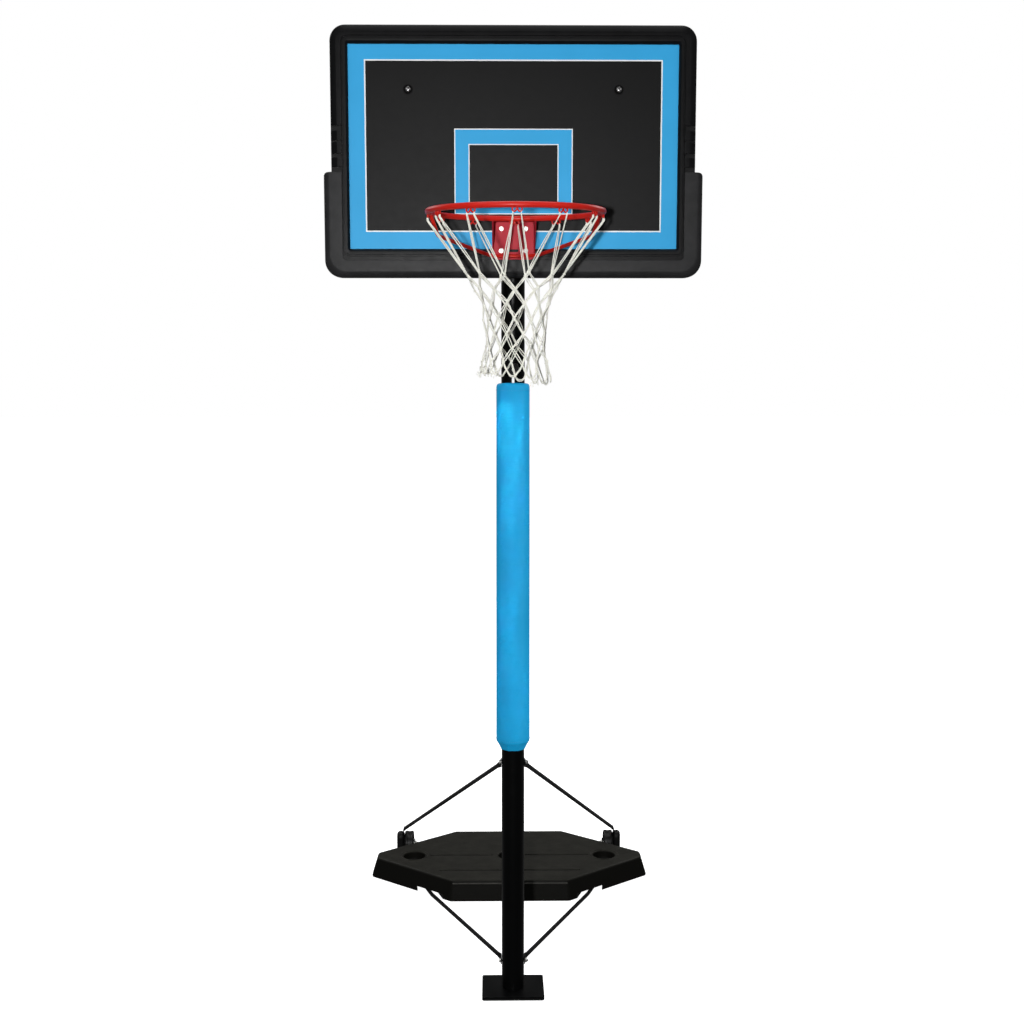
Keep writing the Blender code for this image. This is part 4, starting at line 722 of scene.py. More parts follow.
@dataclass(frozen=True)
class BlownShell(MouldedPlastic):
    """The tank's blown wall: scuffed and paler on top, with painted shade making it darker below the top
    edge and in the grooves.
    """

    top_z: float = 0.080
    edge_fall: tuple[float, float] = (0.0060, 0.0006)
    # How dark the painted shade below the top edge is.
    shade: float = 0.42
    wear: float = 1.9
    wear_share: float = 0.5
    scuff_scale: float = 85.0
    scuff_span: tuple[float, float] = (0.56, 0.74)

    def surface(self, graph: Graph) -> dict[str, Any]:
        """The moulded plastic with painted shade below the top edge and in the grooves, and scuffed on
        top.
        """
        found = super().surface(graph)
        on_top = graph.axes().other("Z").over(*(self.top_z - fall for fall in self.edge_fall))
        scuffs = graph.noise(self.scuff_scale, 6.0, roughness=0.75).over(*self.scuff_span)
        topped = graph.blend(scuffs * self.wear_share, found["Base Color"], self.tinted(self.wear))
        # Painted shade: below the top edge, down the sides and in the grooves the colour is darkened.
        found["Base Color"] = graph.blend(on_top, self.tinted(self.shade), topped)
        return found


@dataclass(frozen=True)
class RecessedPanel(Finish):
    """The panel's satin sheet: painted light makes it paler low down, and painted shade makes it dark in
    the bolts' recesses.
    """

    bolt: tuple[float, float] = BOARD_BOLT
    recess: float = 0.015
    low_z: float = 2.37
    high_z: float = 2.95

    def surface(self, graph: Graph) -> dict[str, Any]:
        """Painted light by height with faint mottling, and painted shade, dark and matt, round each bolt.
        """
        x = graph.axes()
        z = x.other("Z")
        off_x, off_z = x.math("ABSOLUTE", x) - self.bolt[0], z - self.bolt[1]
        away = x.math("SQRT", off_x * off_x + off_z * off_z)
        # Painted shade: a dark, matt ring round each board bolt's recess.
        painted_hollow_shade = 1.0 - away.over(self.recess * 0.72, self.recess * 1.12)
        # Painted light: paler towards the bottom, with faint random mottling.
        painted_low_light_and_mottle = (1.0 - z.over(self.low_z, self.high_z)) * 0.75 + (graph.noise(7.0, 4.0) - 0.5) * 0.35
        lit_low_and_mottled = graph.blend(painted_low_light_and_mottle.clamped(), self.colour, self.tinted(2.0))
        return {
            "Base Color": graph.blend(painted_hollow_shade, lit_low_and_mottled, self.tinted(0.25)),
            "Roughness": self.uneven(graph, 60.0, 4.0, 0.10) + painted_hollow_shade * 0.3,
            "Normal": graph.bump(graph.noise(1300.0, 3.0, roughness=0.7), 0.14, 0.0004),
        }


@dataclass(frozen=True)
class PrintInk(Finish):
    """Flat screen-printed ink with a faint film edge and weave of the screen."""

    def surface(self, graph: Graph) -> dict[str, Any]:
        """A hardly visible change of depth in the ink."""
        depth = graph.noise(5.0, 3.0).over(0.3, 0.8)
        return {
            "Base Color": graph.blend(depth, self.colour, self.tinted(1.12, 0.006)),
            "Roughness": self.uneven(graph, 80.0, 3.0, 0.12),
            "Normal": graph.bump(graph.noise(1600.0, 2.0), 0.10, 0.0002),
        }


@dataclass(frozen=True)
class Vinyl(Finish):
    """Coated vinyl over foam: leather-like grain and faint long ripples."""

    def surface(self, graph: Graph) -> dict[str, Any]:
        """Grain cells, ripples down the length and slightly uneven colour."""
        ripples = graph.noise(11.0, 3.0, vector=graph.stretched((1.0, 1.0, 0.35)))
        cells = graph.cells(620.0, "SMOOTH_F1")
        soft = graph.bump(ripples, 0.35, 0.006)
        patches = graph.noise(7.0, 4.0).over(0.35, 0.8)
        return {
            "Base Color": graph.blend(patches, self.colour, self.tinted(0.86)),
            "Roughness": self.uneven(graph, 35.0, 3.0, 0.12),
            "Normal": graph.bump(cells, 0.22, 0.0006, under=soft),
        }


@dataclass(frozen=True)
class BraidedCord(Finish):
    """White nylon cord, whose braid follows the cord's own run."""

    plaits: float = 520.0

    def surface(self, graph: Graph) -> dict[str, Any]:
        """Diagonal plaits that cross, with shade in the hollows between them."""
        run, turn = (graph.add("ShaderNodeAttribute", {"attribute_name": name}, out="Fac")
                     for name in ("run", "turn"))
        along, across = run * self.plaits * 2.0, turn * (4 * math.pi)
        one, two = run.math("SINE", along + across), run.math("SINE", along - across)
        braid = run.math("MAXIMUM", one, two) * 0.5 + 0.5
        grime = graph.noise(30.0, 3.0).over(0.45, 0.85)
        shade = (self.colour[0] * 0.72, self.colour[1] * 0.75, self.colour[2] * 0.68, 1.0)
        painted_hollow_shade = graph.blend((1.0 - braid) * 0.55, self.colour, shade)
        return {
            "Base Color": graph.blend(grime * 0.35, painted_hollow_shade, shade),
            "Normal": graph.bump(braid, 0.5, 0.0004),
        }


@dataclass(frozen=True)
class MouldedRubber(Finish):
    """Black rubber with a matt bloom."""

    def surface(self, graph: Graph) -> dict[str, Any]:
        """Bloom and pores."""
        bloom = graph.noise(26.0, 5.0).over(0.4, 0.8)
        return {
            "Base Color": graph.blend(bloom, self.colour, self.tinted(2.4)),
            "Roughness": self.uneven(graph, 90.0, 3.0, 0.12),
            "Normal": graph.bump(graph.noise(1400.0, 3.0), 0.3, 0.0004),
        }


@dataclass(frozen=True)
class TankWater(Finish):
    """The ballast water inside the closed base."""

    def surface(self, graph: Graph) -> dict[str, Any]:
        """Clear water with small ripples."""
        return {
            "Transmission Weight": 0.9,
            "IOR": 1.333,
            "Normal": graph.bump(graph.noise(30.0, 2.0), 0.2, 0.004),
        }


def grey(level: float) -> Colour:
    """A neutral colour."""
    return (level, level, level, 1.0)


BLACK_STEEL = PowderCoat("black_powder_coat", "black_steel", (0.0016, 0.0017, 0.0018, 1.0), 0.32,
                         0.10, peel=0.12, mottle=0.3)
BLACK_ZINC = Zinc("black_zinc_plating", "zinc", (0.26, 0.26, 0.27, 1.0), 0.30)
ZINC = Zinc("zinc_plating", "zinc", (0.46, 0.46, 0.45, 1.0), 0.38)
BLACK_PLASTIC = MouldedPlastic("black_plastic_moulding", "black_plastic",
                               (0.0045, 0.0045, 0.0048, 1.0), 0.44, 0.16, grain=0.22)
FRAME_PLASTIC = MouldedPlastic("frame_moulding", "black_plastic", (0.0048, 0.0049, 0.0053, 1.0),
                               0.38, 0.10, grain=0.22, wave=0.06)
BUMPER_PLASTIC = MouldedPlastic("bumper_moulding", "black_plastic", (0.0180, 0.0180, 0.0188, 1.0),
                                0.44, 0.13, grain=0.26, wave=0.05)
BASE_PLASTIC = BlownShell("base_blow_moulding", "base_plastic", (0.0150, 0.0146, 0.0120, 1.0), 0.5,
                          0.07, grain=0.35, wave=0.14)
BOOT_PLASTIC = MouldedPlastic("strut_boot_moulding", "base_plastic", (0.0060, 0.0060, 0.0060, 1.0),
                              0.45, 0.14, grain=0.3)
# A paler plastic for the front ledge: a painted highlight line along the tank's front top edge.
BASE_LEDGE_HIGHLIGHT = MouldedPlastic("base_rubbed_edge", "base_plastic", (0.042, 0.041, 0.037, 1.0), 0.5,
                           0.12, grain=0.4)
PANEL_BLACK = RecessedPanel("panel_satin_black", "panel_black", (0.0038, 0.0038, 0.0040, 1.0),
                            0.46, 0.115)
RED_PAINT = PowderCoat("ring_red_paint", "red_paint", (0.56, 0.015, 0.009, 1.0), 0.34, 0.22,
                       peel=0.06, mottle=0.04)
BRACKET_RED = PowderCoat("bracket_red_paint", "bracket_red", (0.50, 0.022, 0.040, 1.0), 0.5, 0.16,
                         peel=0.2, mottle=0.16)
BLUE_INK = PrintInk("blue_print", "pad_blue", (0.030, 0.375, 0.74, 1.0), 0.46, 0.16)
WHITE_INK = PrintInk("white_print", "net_white", (0.86, 0.88, 0.90, 1.0), 0.46, 0.3)
PAD_VINYL = Vinyl("pad_vinyl", "pad_blue", (0.0062, 0.232, 0.455, 1.0), 0.56, 0.08)
PAD_THREAD = BraidedCord("pad_thread", "pad_blue", (0.010, 0.20, 0.42, 1.0), 0.7, 0.3)
NET_CORD = BraidedCord("net_cord", "net_white", (0.94, 0.93, 0.86, 1.0), 0.72, 0.3)
RUBBER = MouldedRubber("foot_rubber", "rubber", (0.008, 0.008, 0.008, 1.0), 0.78, 0.2)
WHEEL_PLASTIC = MouldedPlastic("wheel_plastic", "black_plastic", (0.005, 0.005, 0.005, 1.0), 0.38,
                               0.2, grain=0.3)
WATER = TankWater("ballast_water_clear", "water", (0.82, 0.93, 0.95, 1.0), 0.05, 0.5)
MARKER_WHITE = PrintInk("marker_strip_white", "net_white", (0.82, 0.83, 0.84, 1.0), 0.4, 0.4)
WELD_RED = PowderCoat("weld_red_paint", "red_paint", (0.50, 0.016, 0.010, 1.0), 0.32, 0.4,
                      peel=0.5, mottle=0.1)


# Shared Geometry Nodes trees


def build_tube(graph: Graph, socks: dict[str, Sock]) -> Sock:
    """Round tubes along the lines, with the run along and the turn round each kept."""
    lines = graph.add("GeometryNodeMeshToCurve", inputs={"Mesh": socks["Geometry"]})
    run = graph.add("GeometryNodeSplineParameter", out="Length")
    marked = graph.add("GeometryNodeStoreNamedAttribute", {"domain": "POINT"},
                       {"Geometry": lines, "Name": "run", "Value": run})
    round_line = graph.add("GeometryNodeCurvePrimitiveCircle", {"mode": "RADIUS"},
                           {"Resolution": socks["Sides"], "Radius": socks["Radius"]})
    turn = graph.add("GeometryNodeSplineParameter", out="Factor")
    section = graph.add("GeometryNodeStoreNamedAttribute", {"domain": "POINT"},
                        {"Geometry": round_line, "Name": "turn", "Value": turn})
    return graph.add("GeometryNodeCurveToMesh",
                     inputs={"Curve": marked, "Profile Curve": section, "Fill Caps": True})


def build_wheel_of(graph: Graph, socks: dict[str, Sock]) -> Sock:
    """The incoming shape repeated round a vertical axis, then tilted and moved."""
    shape = graph.add("GeometryNodeGeometryToInstance", inputs={"Geometry": socks["Geometry"]})
    points = graph.add("GeometryNodePoints", inputs={"Count": socks["Count"]})
    number = graph.add("GeometryNodeInputIndex")
    angle = number * (2 * math.pi) / socks["Count"] + socks["Start"]
    turn = graph.add("ShaderNodeCombineXYZ", inputs={"Z": angle})
    ring = graph.add("GeometryNodeInstanceOnPoints",
                     inputs={"Points": points, "Instance": shape, "Rotation": turn})
    return graph.add("GeometryNodeTransform", inputs={
        "Geometry": ring, "Translation": socks["Centre"], "Rotation": socks["Tilt"]})


def build_fixings(graph: Graph, socks: dict[str, Sock]) -> Sock:
    """One shape on every point, turned to the point's way and stretched by its length."""
    way = graph.add("GeometryNodeInputNamedAttribute", {"data_type": "FLOAT_VECTOR"},
                    {"Name": "way"})
    length = graph.add("GeometryNodeInputNamedAttribute", {"data_type": "FLOAT"},
                       {"Name": "length"})
    turn = graph.add("FunctionNodeAlignRotationToVector", {"axis": "Z"}, {"Vector": way})
    size = graph.add("ShaderNodeCombineXYZ", inputs={"X": 1.0, "Y": 1.0, "Z": length})
    shape = graph.add("GeometryNodeObjectInfo", inputs={"Object": socks["Shape"]}, out="Geometry")
    points = graph.add("GeometryNodeMeshToPoints", inputs={"Mesh": socks["Geometry"]})
    return graph.add("GeometryNodeInstanceOnPoints", inputs={
        "Points": points, "Instance": shape, "Rotation": turn, "Scale": size})


TUBE = geometry_tree("tube_along_lines", {
    "Radius": ("NodeSocketFloat", 0.005),
    "Sides": ("NodeSocketInt", 16),
}, build_tube)
WHEEL_OF = geometry_tree("wheel_of_shapes", {
    "Count": ("NodeSocketInt", 12),
    "Start": ("NodeSocketFloat", 0.0),
    "Centre": ("NodeSocketVector", None),
    "Tilt": ("NodeSocketVector", None),
}, build_wheel_of)
FIXINGS = geometry_tree("fixings_on_points", {
    "Shape": ("NodeSocketObject", None),
}, build_fixings)


class Fixing(Enum):
    """The shapes that are put on points: the fasteners' parts and a sewn stitch."""

    HEX_HEAD = "hex_head"
    DOME_HEAD = "dome_head"
    NUT = "nut"
    SHANK = "shank"
    STITCH = "stitch"


def fixing_points(places: Sequence[tuple[Vector, Vector, float]]) -> bpy.types.Mesh:
    """A mesh of points that carry each shape's way and length."""
    mesh = bpy.data.meshes.new("points")
    mesh.from_pydata([place for place, _, _ in places], [], [])
    mesh.attributes.new("way", "FLOAT_VECTOR", "POINT")
    mesh.attributes.new("length", "FLOAT", "POINT")
    for index, (_, way, length) in enumerate(places):
        mesh.attributes["way"].data[index].vector = way
        mesh.attributes["length"].data[index].value = length
    return mesh


def fixed_on(kind: Fixing, shape: bpy.types.Mesh, places: Sequence[tuple[Vector, Vector, float]],
             finish: Finish) -> bpy.types.Mesh:
    """One shape on every place.

    Args:
        kind: The shape's kind.
        shape: Its mesh, standing up from its seat along Z.
        places: Each place's point, way and length.
        finish: The finish that they get.

    Returns:
        The mesh of all of them.
    """
    pattern = linked(kind.value, shape)
    mesh = grown(fixing_points(places), FIXINGS, {"Shape": pattern}, finish)
    bpy.data.objects.remove(pattern)
    return mesh


def tubes(name: str, paths: Sequence[Sequence[Vector]], radius: float, sides: int,
          finish: Finish, closed: bool = False) -> bpy.types.Mesh:
    """Tubes with this radius and so many sides along the paths, each a line or a closed loop."""
    return grown(wires(name, paths, closed), TUBE, {"Radius": radius, "Sides": sides}, finish)


# Board


@dataclass
class Station:
    """One line of the frame's or the bumper's section, given from the frame's outer edge."""

    top: float
    side: float
    bottom: float
    depth: float
    corner: float


@dataclass
class Backboard:
    """The panel with its prints, the moulded frame and the lower bumper."""

    face_y: float = -0.110
    back_y: float = -0.104
    half_width: float = 0.5365
    low_z: float = 2.307
    high_z: float = 3.012
    front_y: float = -0.124
    rear_y: float = -0.078
    wall: float = 0.004
    window_half: float = 0.4835
    window_low: float = 2.369
    window_high: float = 2.957
    dish_half: float = 0.0145
    dish_depth: float = 0.0026
    ink: float = 0.0003
    ink_corner: float = 0.0004
    print_gap: float = 0.0002
    border_half: float = 0.4365
    border_low: float = 2.4186
    border_high: float = 2.9135
    line: float = 0.0038
    line_lift: float = 0.00004
    target_half: float = 0.1741
    target_low: float = 2.470
    target_high: float = 2.717
    target_bars: tuple[float, float, float] = (0.0445, 0.0468, 0.0352)
    target_line: float = 0.0028
    target_lift: float = 0.00005
    bracket_slot: Edges = (-0.0675, 0.0675, 2.333, 2.4255)
    tools_front_y: float = -0.2
    notch_in: float = 0.0335
    tools_side_x: float = 0.60
    notches: tuple[tuple[float, float], ...] = (
        (2.7095, 2.725), (2.677, 2.682), (2.6325, 2.6446), (2.591, 2.606))
    notch_depth: float = 0.019
    bumper_reach: float = 0.0225
    bumper_top: float = 2.5905
    bumper_end_r: float = 0.013
    bumper_front: float = -0.130
    bumper_rear: float = -0.072

    def outline(self, station: Station) -> list[Vector]:
        """A station's line all round the board."""
        points = rounded_rectangle(
            -self.half_width + station.side, self.half_width - station.side,
            self.low_z + station.bottom, self.high_z - station.top, station.corner, 10)
        return [v3(x, station.depth, z) for x, z in points]

    def frame_section(self) -> list[Station]:
        """The frame's section, from its outer back edge over the front to the panel."""
        y, corner = self.front_y, 0.045
        seat = self.face_y - GAP
        lines = [
            (0.0, 0.0, 0.0, y + 0.0175, corner),
            (0.0008, 0.0008, 0.0008, y + 0.0135, corner),
            (0.0044, 0.0040, 0.0040, y + 0.0088, corner - 0.003),
            (0.0175, 0.0155, 0.0145, y + 0.0026, corner - 0.012),
            (0.0205, 0.0182, 0.0170, y + 0.0009, corner - 0.014),
            (0.0228, 0.0203, 0.0190, y, corner - 0.016),
            (0.0320, 0.0335, 0.0400, y, corner - 0.024),
            (0.0328, 0.0342, 0.0408, y + 0.0010, corner - 0.025),
            (0.0332, 0.0345, 0.0412, y + 0.0040, corner - 0.026),
            (0.0382, 0.0378, 0.0450, y + 0.0040, 0.015),
            (0.0386, 0.0381, 0.0454, y + 0.0008, 0.015),
            (0.0394, 0.0388, 0.0462, y, 0.014),
            (0.0472, 0.0466, 0.0545, y, 0.009),
            (0.0480, 0.0473, 0.0553, y + 0.0006, 0.008),
            (0.0544, 0.0524, 0.0614, y + 0.0072, 0.003),
            (0.0550, 0.0530, 0.0620, y + 0.0095, 0.002),
            (0.0550, 0.0530, 0.0620, seat, 0.002),
            (self.wall, self.wall, self.wall, seat, corner - self.wall),
            (self.wall, self.wall, self.wall, self.rear_y + 0.0008, corner - self.wall),
            (0.0032, 0.0032, 0.0032, self.rear_y, corner - 0.0032),
            (0.0008, 0.0008, 0.0008, self.rear_y, corner - 0.0008),
            (0.0, 0.0, 0.0, self.rear_y - 0.0008, corner),
        ]
        return [Station(*line) for line in lines]

    def build_frame(self) -> None:
        """The frame, notched on both sides and open behind the rim bracket."""
        mesh = skinned("frame", [self.outline(s) for s in self.frame_section()], closed=True)
        left, right, low, high = self.bracket_slot
        tools = [boxed("bracket_notch", (left, self.tools_front_y, low), (right, self.back_y, high))]
        for side, _ in SIDES:
            inner = side * (self.half_width - self.notch_in)
            near, far = sorted((inner, side * self.tools_side_x))
            tools += [boxed("notch", (near, self.tools_front_y, low),
                            (far, self.front_y + self.notch_depth, high))
                      for low, high in self.notches]
        put("backboard_frame_moulding", carved(mesh, tools), FRAME_PLASTIC, MAST,
            ["backboard_frame"], 40)

    def bumper_line(self, station: Station) -> list[Vector]:
        """A station's line up one arm of the bumper, round below and up the other arm."""
        half = self.half_width - station.side
        low = self.low_z + station.bottom
        outward = self.bumper_reach + station.side
        beyond = max(0.0, self.bumper_end_r - outward)
        top = self.bumper_top - self.bumper_end_r + math.sqrt(
            max(0.0, self.bumper_end_r ** 2 - beyond ** 2))
        corner = max(station.corner, 0.0005)
        points = [(-half, top)]
        for centre, start in ((-half + corner, 180), (half - corner, 270)):
            points += arc(centre, low + corner, corner, start, 90, 10)
        points.append((half, top))
        return [v3(x, station.depth, z) for x, z in points]

    def build_bumper(self) -> None:
        """The bumper that wraps the frame's sides and bottom edge."""
        front, rear = self.bumper_front, self.bumper_rear
        seat_front, seat_rear = self.front_y - GAP, self.rear_y + GAP
        lip, low_lip, reach, corner = 0.0325, 0.0290, self.bumper_reach, 0.045
        lines = [
            (lip, low_lip, seat_front, 0.012),
            (lip, low_lip, front + 0.0012, 0.012),
            (lip - 0.0004, low_lip - 0.0004, front + 0.0004, 0.0124),
            (lip - 0.0014, low_lip - 0.0014, front, 0.0134),
            (-0.0035, -0.0020, front, corner + 0.0025),
            (-0.0085, -0.0070, front + 0.0010, corner + 0.0045),
            (-0.0140, -0.0135, front + 0.0040, corner + 0.0056),
            (-0.0185, -0.0185, front + 0.0088, corner + 0.0060),
            (-0.0215, -0.0215, front + 0.0150, corner + 0.0060),
            (-reach, -reach, front + 0.0225, corner + 0.0060),
            (-reach, -reach, rear - 0.0060, corner + 0.0060),
            (-reach + 0.0018, -reach + 0.0018, rear - 0.0018, corner + 0.0056),
            (-reach + 0.0060, -reach + 0.0060, rear, corner + 0.0050),
            (lip - 0.0010, low_lip - 0.0010, rear, 0.0130),
            (lip, low_lip, rear - 0.0010, 0.012),
            (lip, low_lip, seat_rear, 0.012),
            (-GAP, -GAP, seat_rear, corner),
            (-GAP, -GAP, seat_front, corner),
        ]
        rows = [self.bumper_line(Station(0.0, *line)) for line in lines]
        mesh = skinned("bumper", [list(column) for column in zip(*rows)])
        put("backboard_bumper_moulding", bevelled(mesh, 0.0016, 3, 60), BUMPER_PLASTIC, MAST,
            ["backboard_bumper"], 40)

    def build_panel(self) -> None:
        """The panel with a dished seat round each board bolt."""
        panel = merged_copy("backboard_panel")
        radius = (self.dish_half ** 2 + self.dish_depth ** 2) / (2 * self.dish_depth)
        profile = [(0.0, 0.02), (self.dish_half * 1.02, 0.02)]
        for step in range(9):
            reach = self.dish_half * (1 - step / 8)
            sag = math.sqrt(radius ** 2 - reach ** 2) - (radius - self.dish_depth)
            profile.append((reach, -sag))
        dishes = []
        for side, _ in SIDES:
            place = Matrix.Translation((side * BOARD_BOLT[0], self.face_y, BOARD_BOLT[1]))
            dishes.append(lathed("dish", profile, 40, place @ Matrix.Rotation(math.pi / 2, 4, "X"),
                                 closed=False))
        put("backboard_panel_sheet", carved(panel, dishes), PANEL_BLACK, MAST, ["backboard_panel"],
            30)

    def band(self, outer: Edges, inner: Edges, lift: float = 0.0) -> bpy.types.Mesh:
        """A flat band of ink on the panel.

        Args:
            outer: The left, right, bottom and top of its outer edge.
            inner: Those of its inner edge.
            lift: How far it stands in front of the ink's usual face.

        Returns:
            The band's mesh.
        """
        back, front = self.face_y, self.face_y - self.ink - lift
        return skinned("band", [
            [v3(x, depth, z) for x, z in rounded_rectangle(*edges, self.ink_corner, 1)]
            for edges, depth in ((outer, back), (outer, front), (inner, front), (inner, back))
        ], closed=True)

    @staticmethod
    def drawn_in(edges: Edges, *by: float) -> Edges:
        """A rectangle made smaller by one width, or by the sides', the top's and the bottom's."""
        side, top, low = by if len(by) == 3 else by * 3
        return edges[0] + side, edges[1] - side, edges[2] + low, edges[3] - top

    def build_prints(self) -> None:
        """The blue border and target, and the white lines along them."""
        window = self.drawn_in((-self.window_half, self.window_half, self.window_low,
                                self.window_high), self.print_gap)
        border = (-self.border_half, self.border_half, self.border_low, self.border_high)
        target = (-self.target_half, self.target_half, self.target_low, self.target_high)
        hole = self.drawn_in(target, *self.target_bars)
        hole_line = self.drawn_in(target, *(bar - self.target_line for bar in self.target_bars))
        put("board_print_blue", joined("prints", [self.band(window, border), self.band(target, hole)]),
            BLUE_INK, MAST)
        put("board_print_white", joined("lines", [
            self.band(border, self.drawn_in(border, self.line), self.line_lift),
            self.band(target, self.drawn_in(target, self.target_line), self.target_lift),
            self.band(hole_line, hole, self.target_lift)]), WHITE_INK, MAST)

    def build(self) -> None:
        """Everything on the board."""
        self.build_frame()
        self.build_bumper()
        self.build_panel()
        self.build_prints()


# Rim


@dataclass
class Rim:
    """The ring with its hooks and welds, the brace rod and the bracket."""

    centre_y: float = RING_Y
    z: float = 2.447
    radius: float = 0.2366
    rod: float = 0.008
    hooks: int = 12
    hook_half: float = 0.0128
    hook_depth: float = 0.0175
    hook_rod: float = 0.0022
    hook_bead: tuple[float, float] = (0.0034, 0.0026)
    brace_bead: tuple[float, float] = (0.009, 0.006)
    brace_rod: float = 0.0055
    brace_drop: float = 0.099
    bracket_y: float = -0.1143
    wrap_half: float = 0.043
    brace_angle: float = math.radians(10)

    def build_ring(self) -> None:
        """The ring itself and its hooks."""
        circle = [polar(self.radius, turn, self.z, self.centre_y) for turn in full_turn(128)]
        ring = tubes("ring", [circle], self.rod, 24, RED_PAINT, closed=True)
        half, deep = self.hook_half, self.hook_depth
        shape = [(-half * 0.86, -0.40), (-half, -0.62), (-half * 0.86, -0.90), (-half * 0.52, -1.0),
                 (-half * 0.20, -0.82), (0.0, -0.46)]
        shape += [(-x, z) for x, z in reversed(shape[:-1])]
        line = flowing([v3(x, -self.radius, z * deep) for x, z in shape], 4)
        wire = tubes("hook", [line], self.hook_rod, 10, RED_PAINT)
        hooks = grown(wire, WHEEL_OF, {"Count": self.hooks, "Centre": (0, self.centre_y, self.z)},
                      RED_PAINT)
        put("rim_ring_and_hooks", joined("ring", [ring, hooks]), RED_PAINT, MAST, ["rim_ring"], 60)

    def build_welds(self) -> None:
        """Weld beads where the hooks, the brace and the bracket meet the ring."""
        beads = []
        for angle in full_turn(self.hooks, -math.pi / 2):
            for side, _ in SIDES:
                turn = angle + side * self.hook_half * 0.88 / self.radius
                centre = polar(self.radius, turn, self.z - self.rod * 0.94, self.centre_y)
                beads.append(self.bead(centre, *self.hook_bead, angle + math.pi / 2))
        for side, _ in SIDES:
            centre = polar(self.radius, self.brace_angle, self.z - self.rod * 0.7,
                           self.centre_y + 0.006)
            centre.x *= side
            beads.append(self.bead(centre, *self.brace_bead, 0.0))
        put("rim_welds", joined("welds", beads), WELD_RED, MAST, angle=60)

    @staticmethod
    def bead(centre: Vector, half_length: float, half_width: float,
             turn: float) -> bpy.types.Mesh:
        """One rounded blob of weld, longer along its turned X axis."""

        def fill(work: bmesh.types.BMesh) -> None:
            """Adds a squashed ball."""
            place = Matrix.Translation(centre) @ Matrix.Rotation(turn, 4, "Z") \
                @ Matrix.Diagonal((half_length, half_width, half_width, 1))
            bmesh.ops.create_icosphere(work, subdivisions=2, radius=1.0, matrix=place)

        return new_mesh("bead", fill)

    def brace_path(self) -> Path:
        """The brace rod's centre line, from the ring's left side under the bracket to its right."""
        rod_y = self.bracket_y - GAP - self.brace_rod
        rod_z = self.z - self.brace_drop
        end = polar(self.radius, self.brace_angle, self.z, self.centre_y)
        side = [v3(self.wrap_half, rod_y, rod_z), v3(0.073, rod_y - 0.018, rod_z + 0.002),
                v3(end.x - 0.020, end.y + 0.040, rod_z + 0.0405), end]
        mirrored = [v3(-p.x, p.y, p.z) for p in reversed(side)]
        return eased(mirrored + side, 0.030, 8)

    def build_brace(self) -> None:
        """The brace rod."""
        mesh = tubes("brace", [self.brace_path()], self.brace_rod, 18, RED_PAINT)
        put("rim_brace_rod", mesh, RED_PAINT, MAST, ["rim_brace"], 60)

    def build_bracket(self) -> None:
        """The folded bracket with its edges eased."""
        put("rim_bracket_fold", eased_copy("rim_bracket", 0.0009), BRACKET_RED, MAST, ["rim_bracket"], 40)

    def build(self) -> None:
        """Everything of the rim."""
        self.build_ring()
        self.build_welds()
        self.build_brace()
        self.build_bracket()


# Net


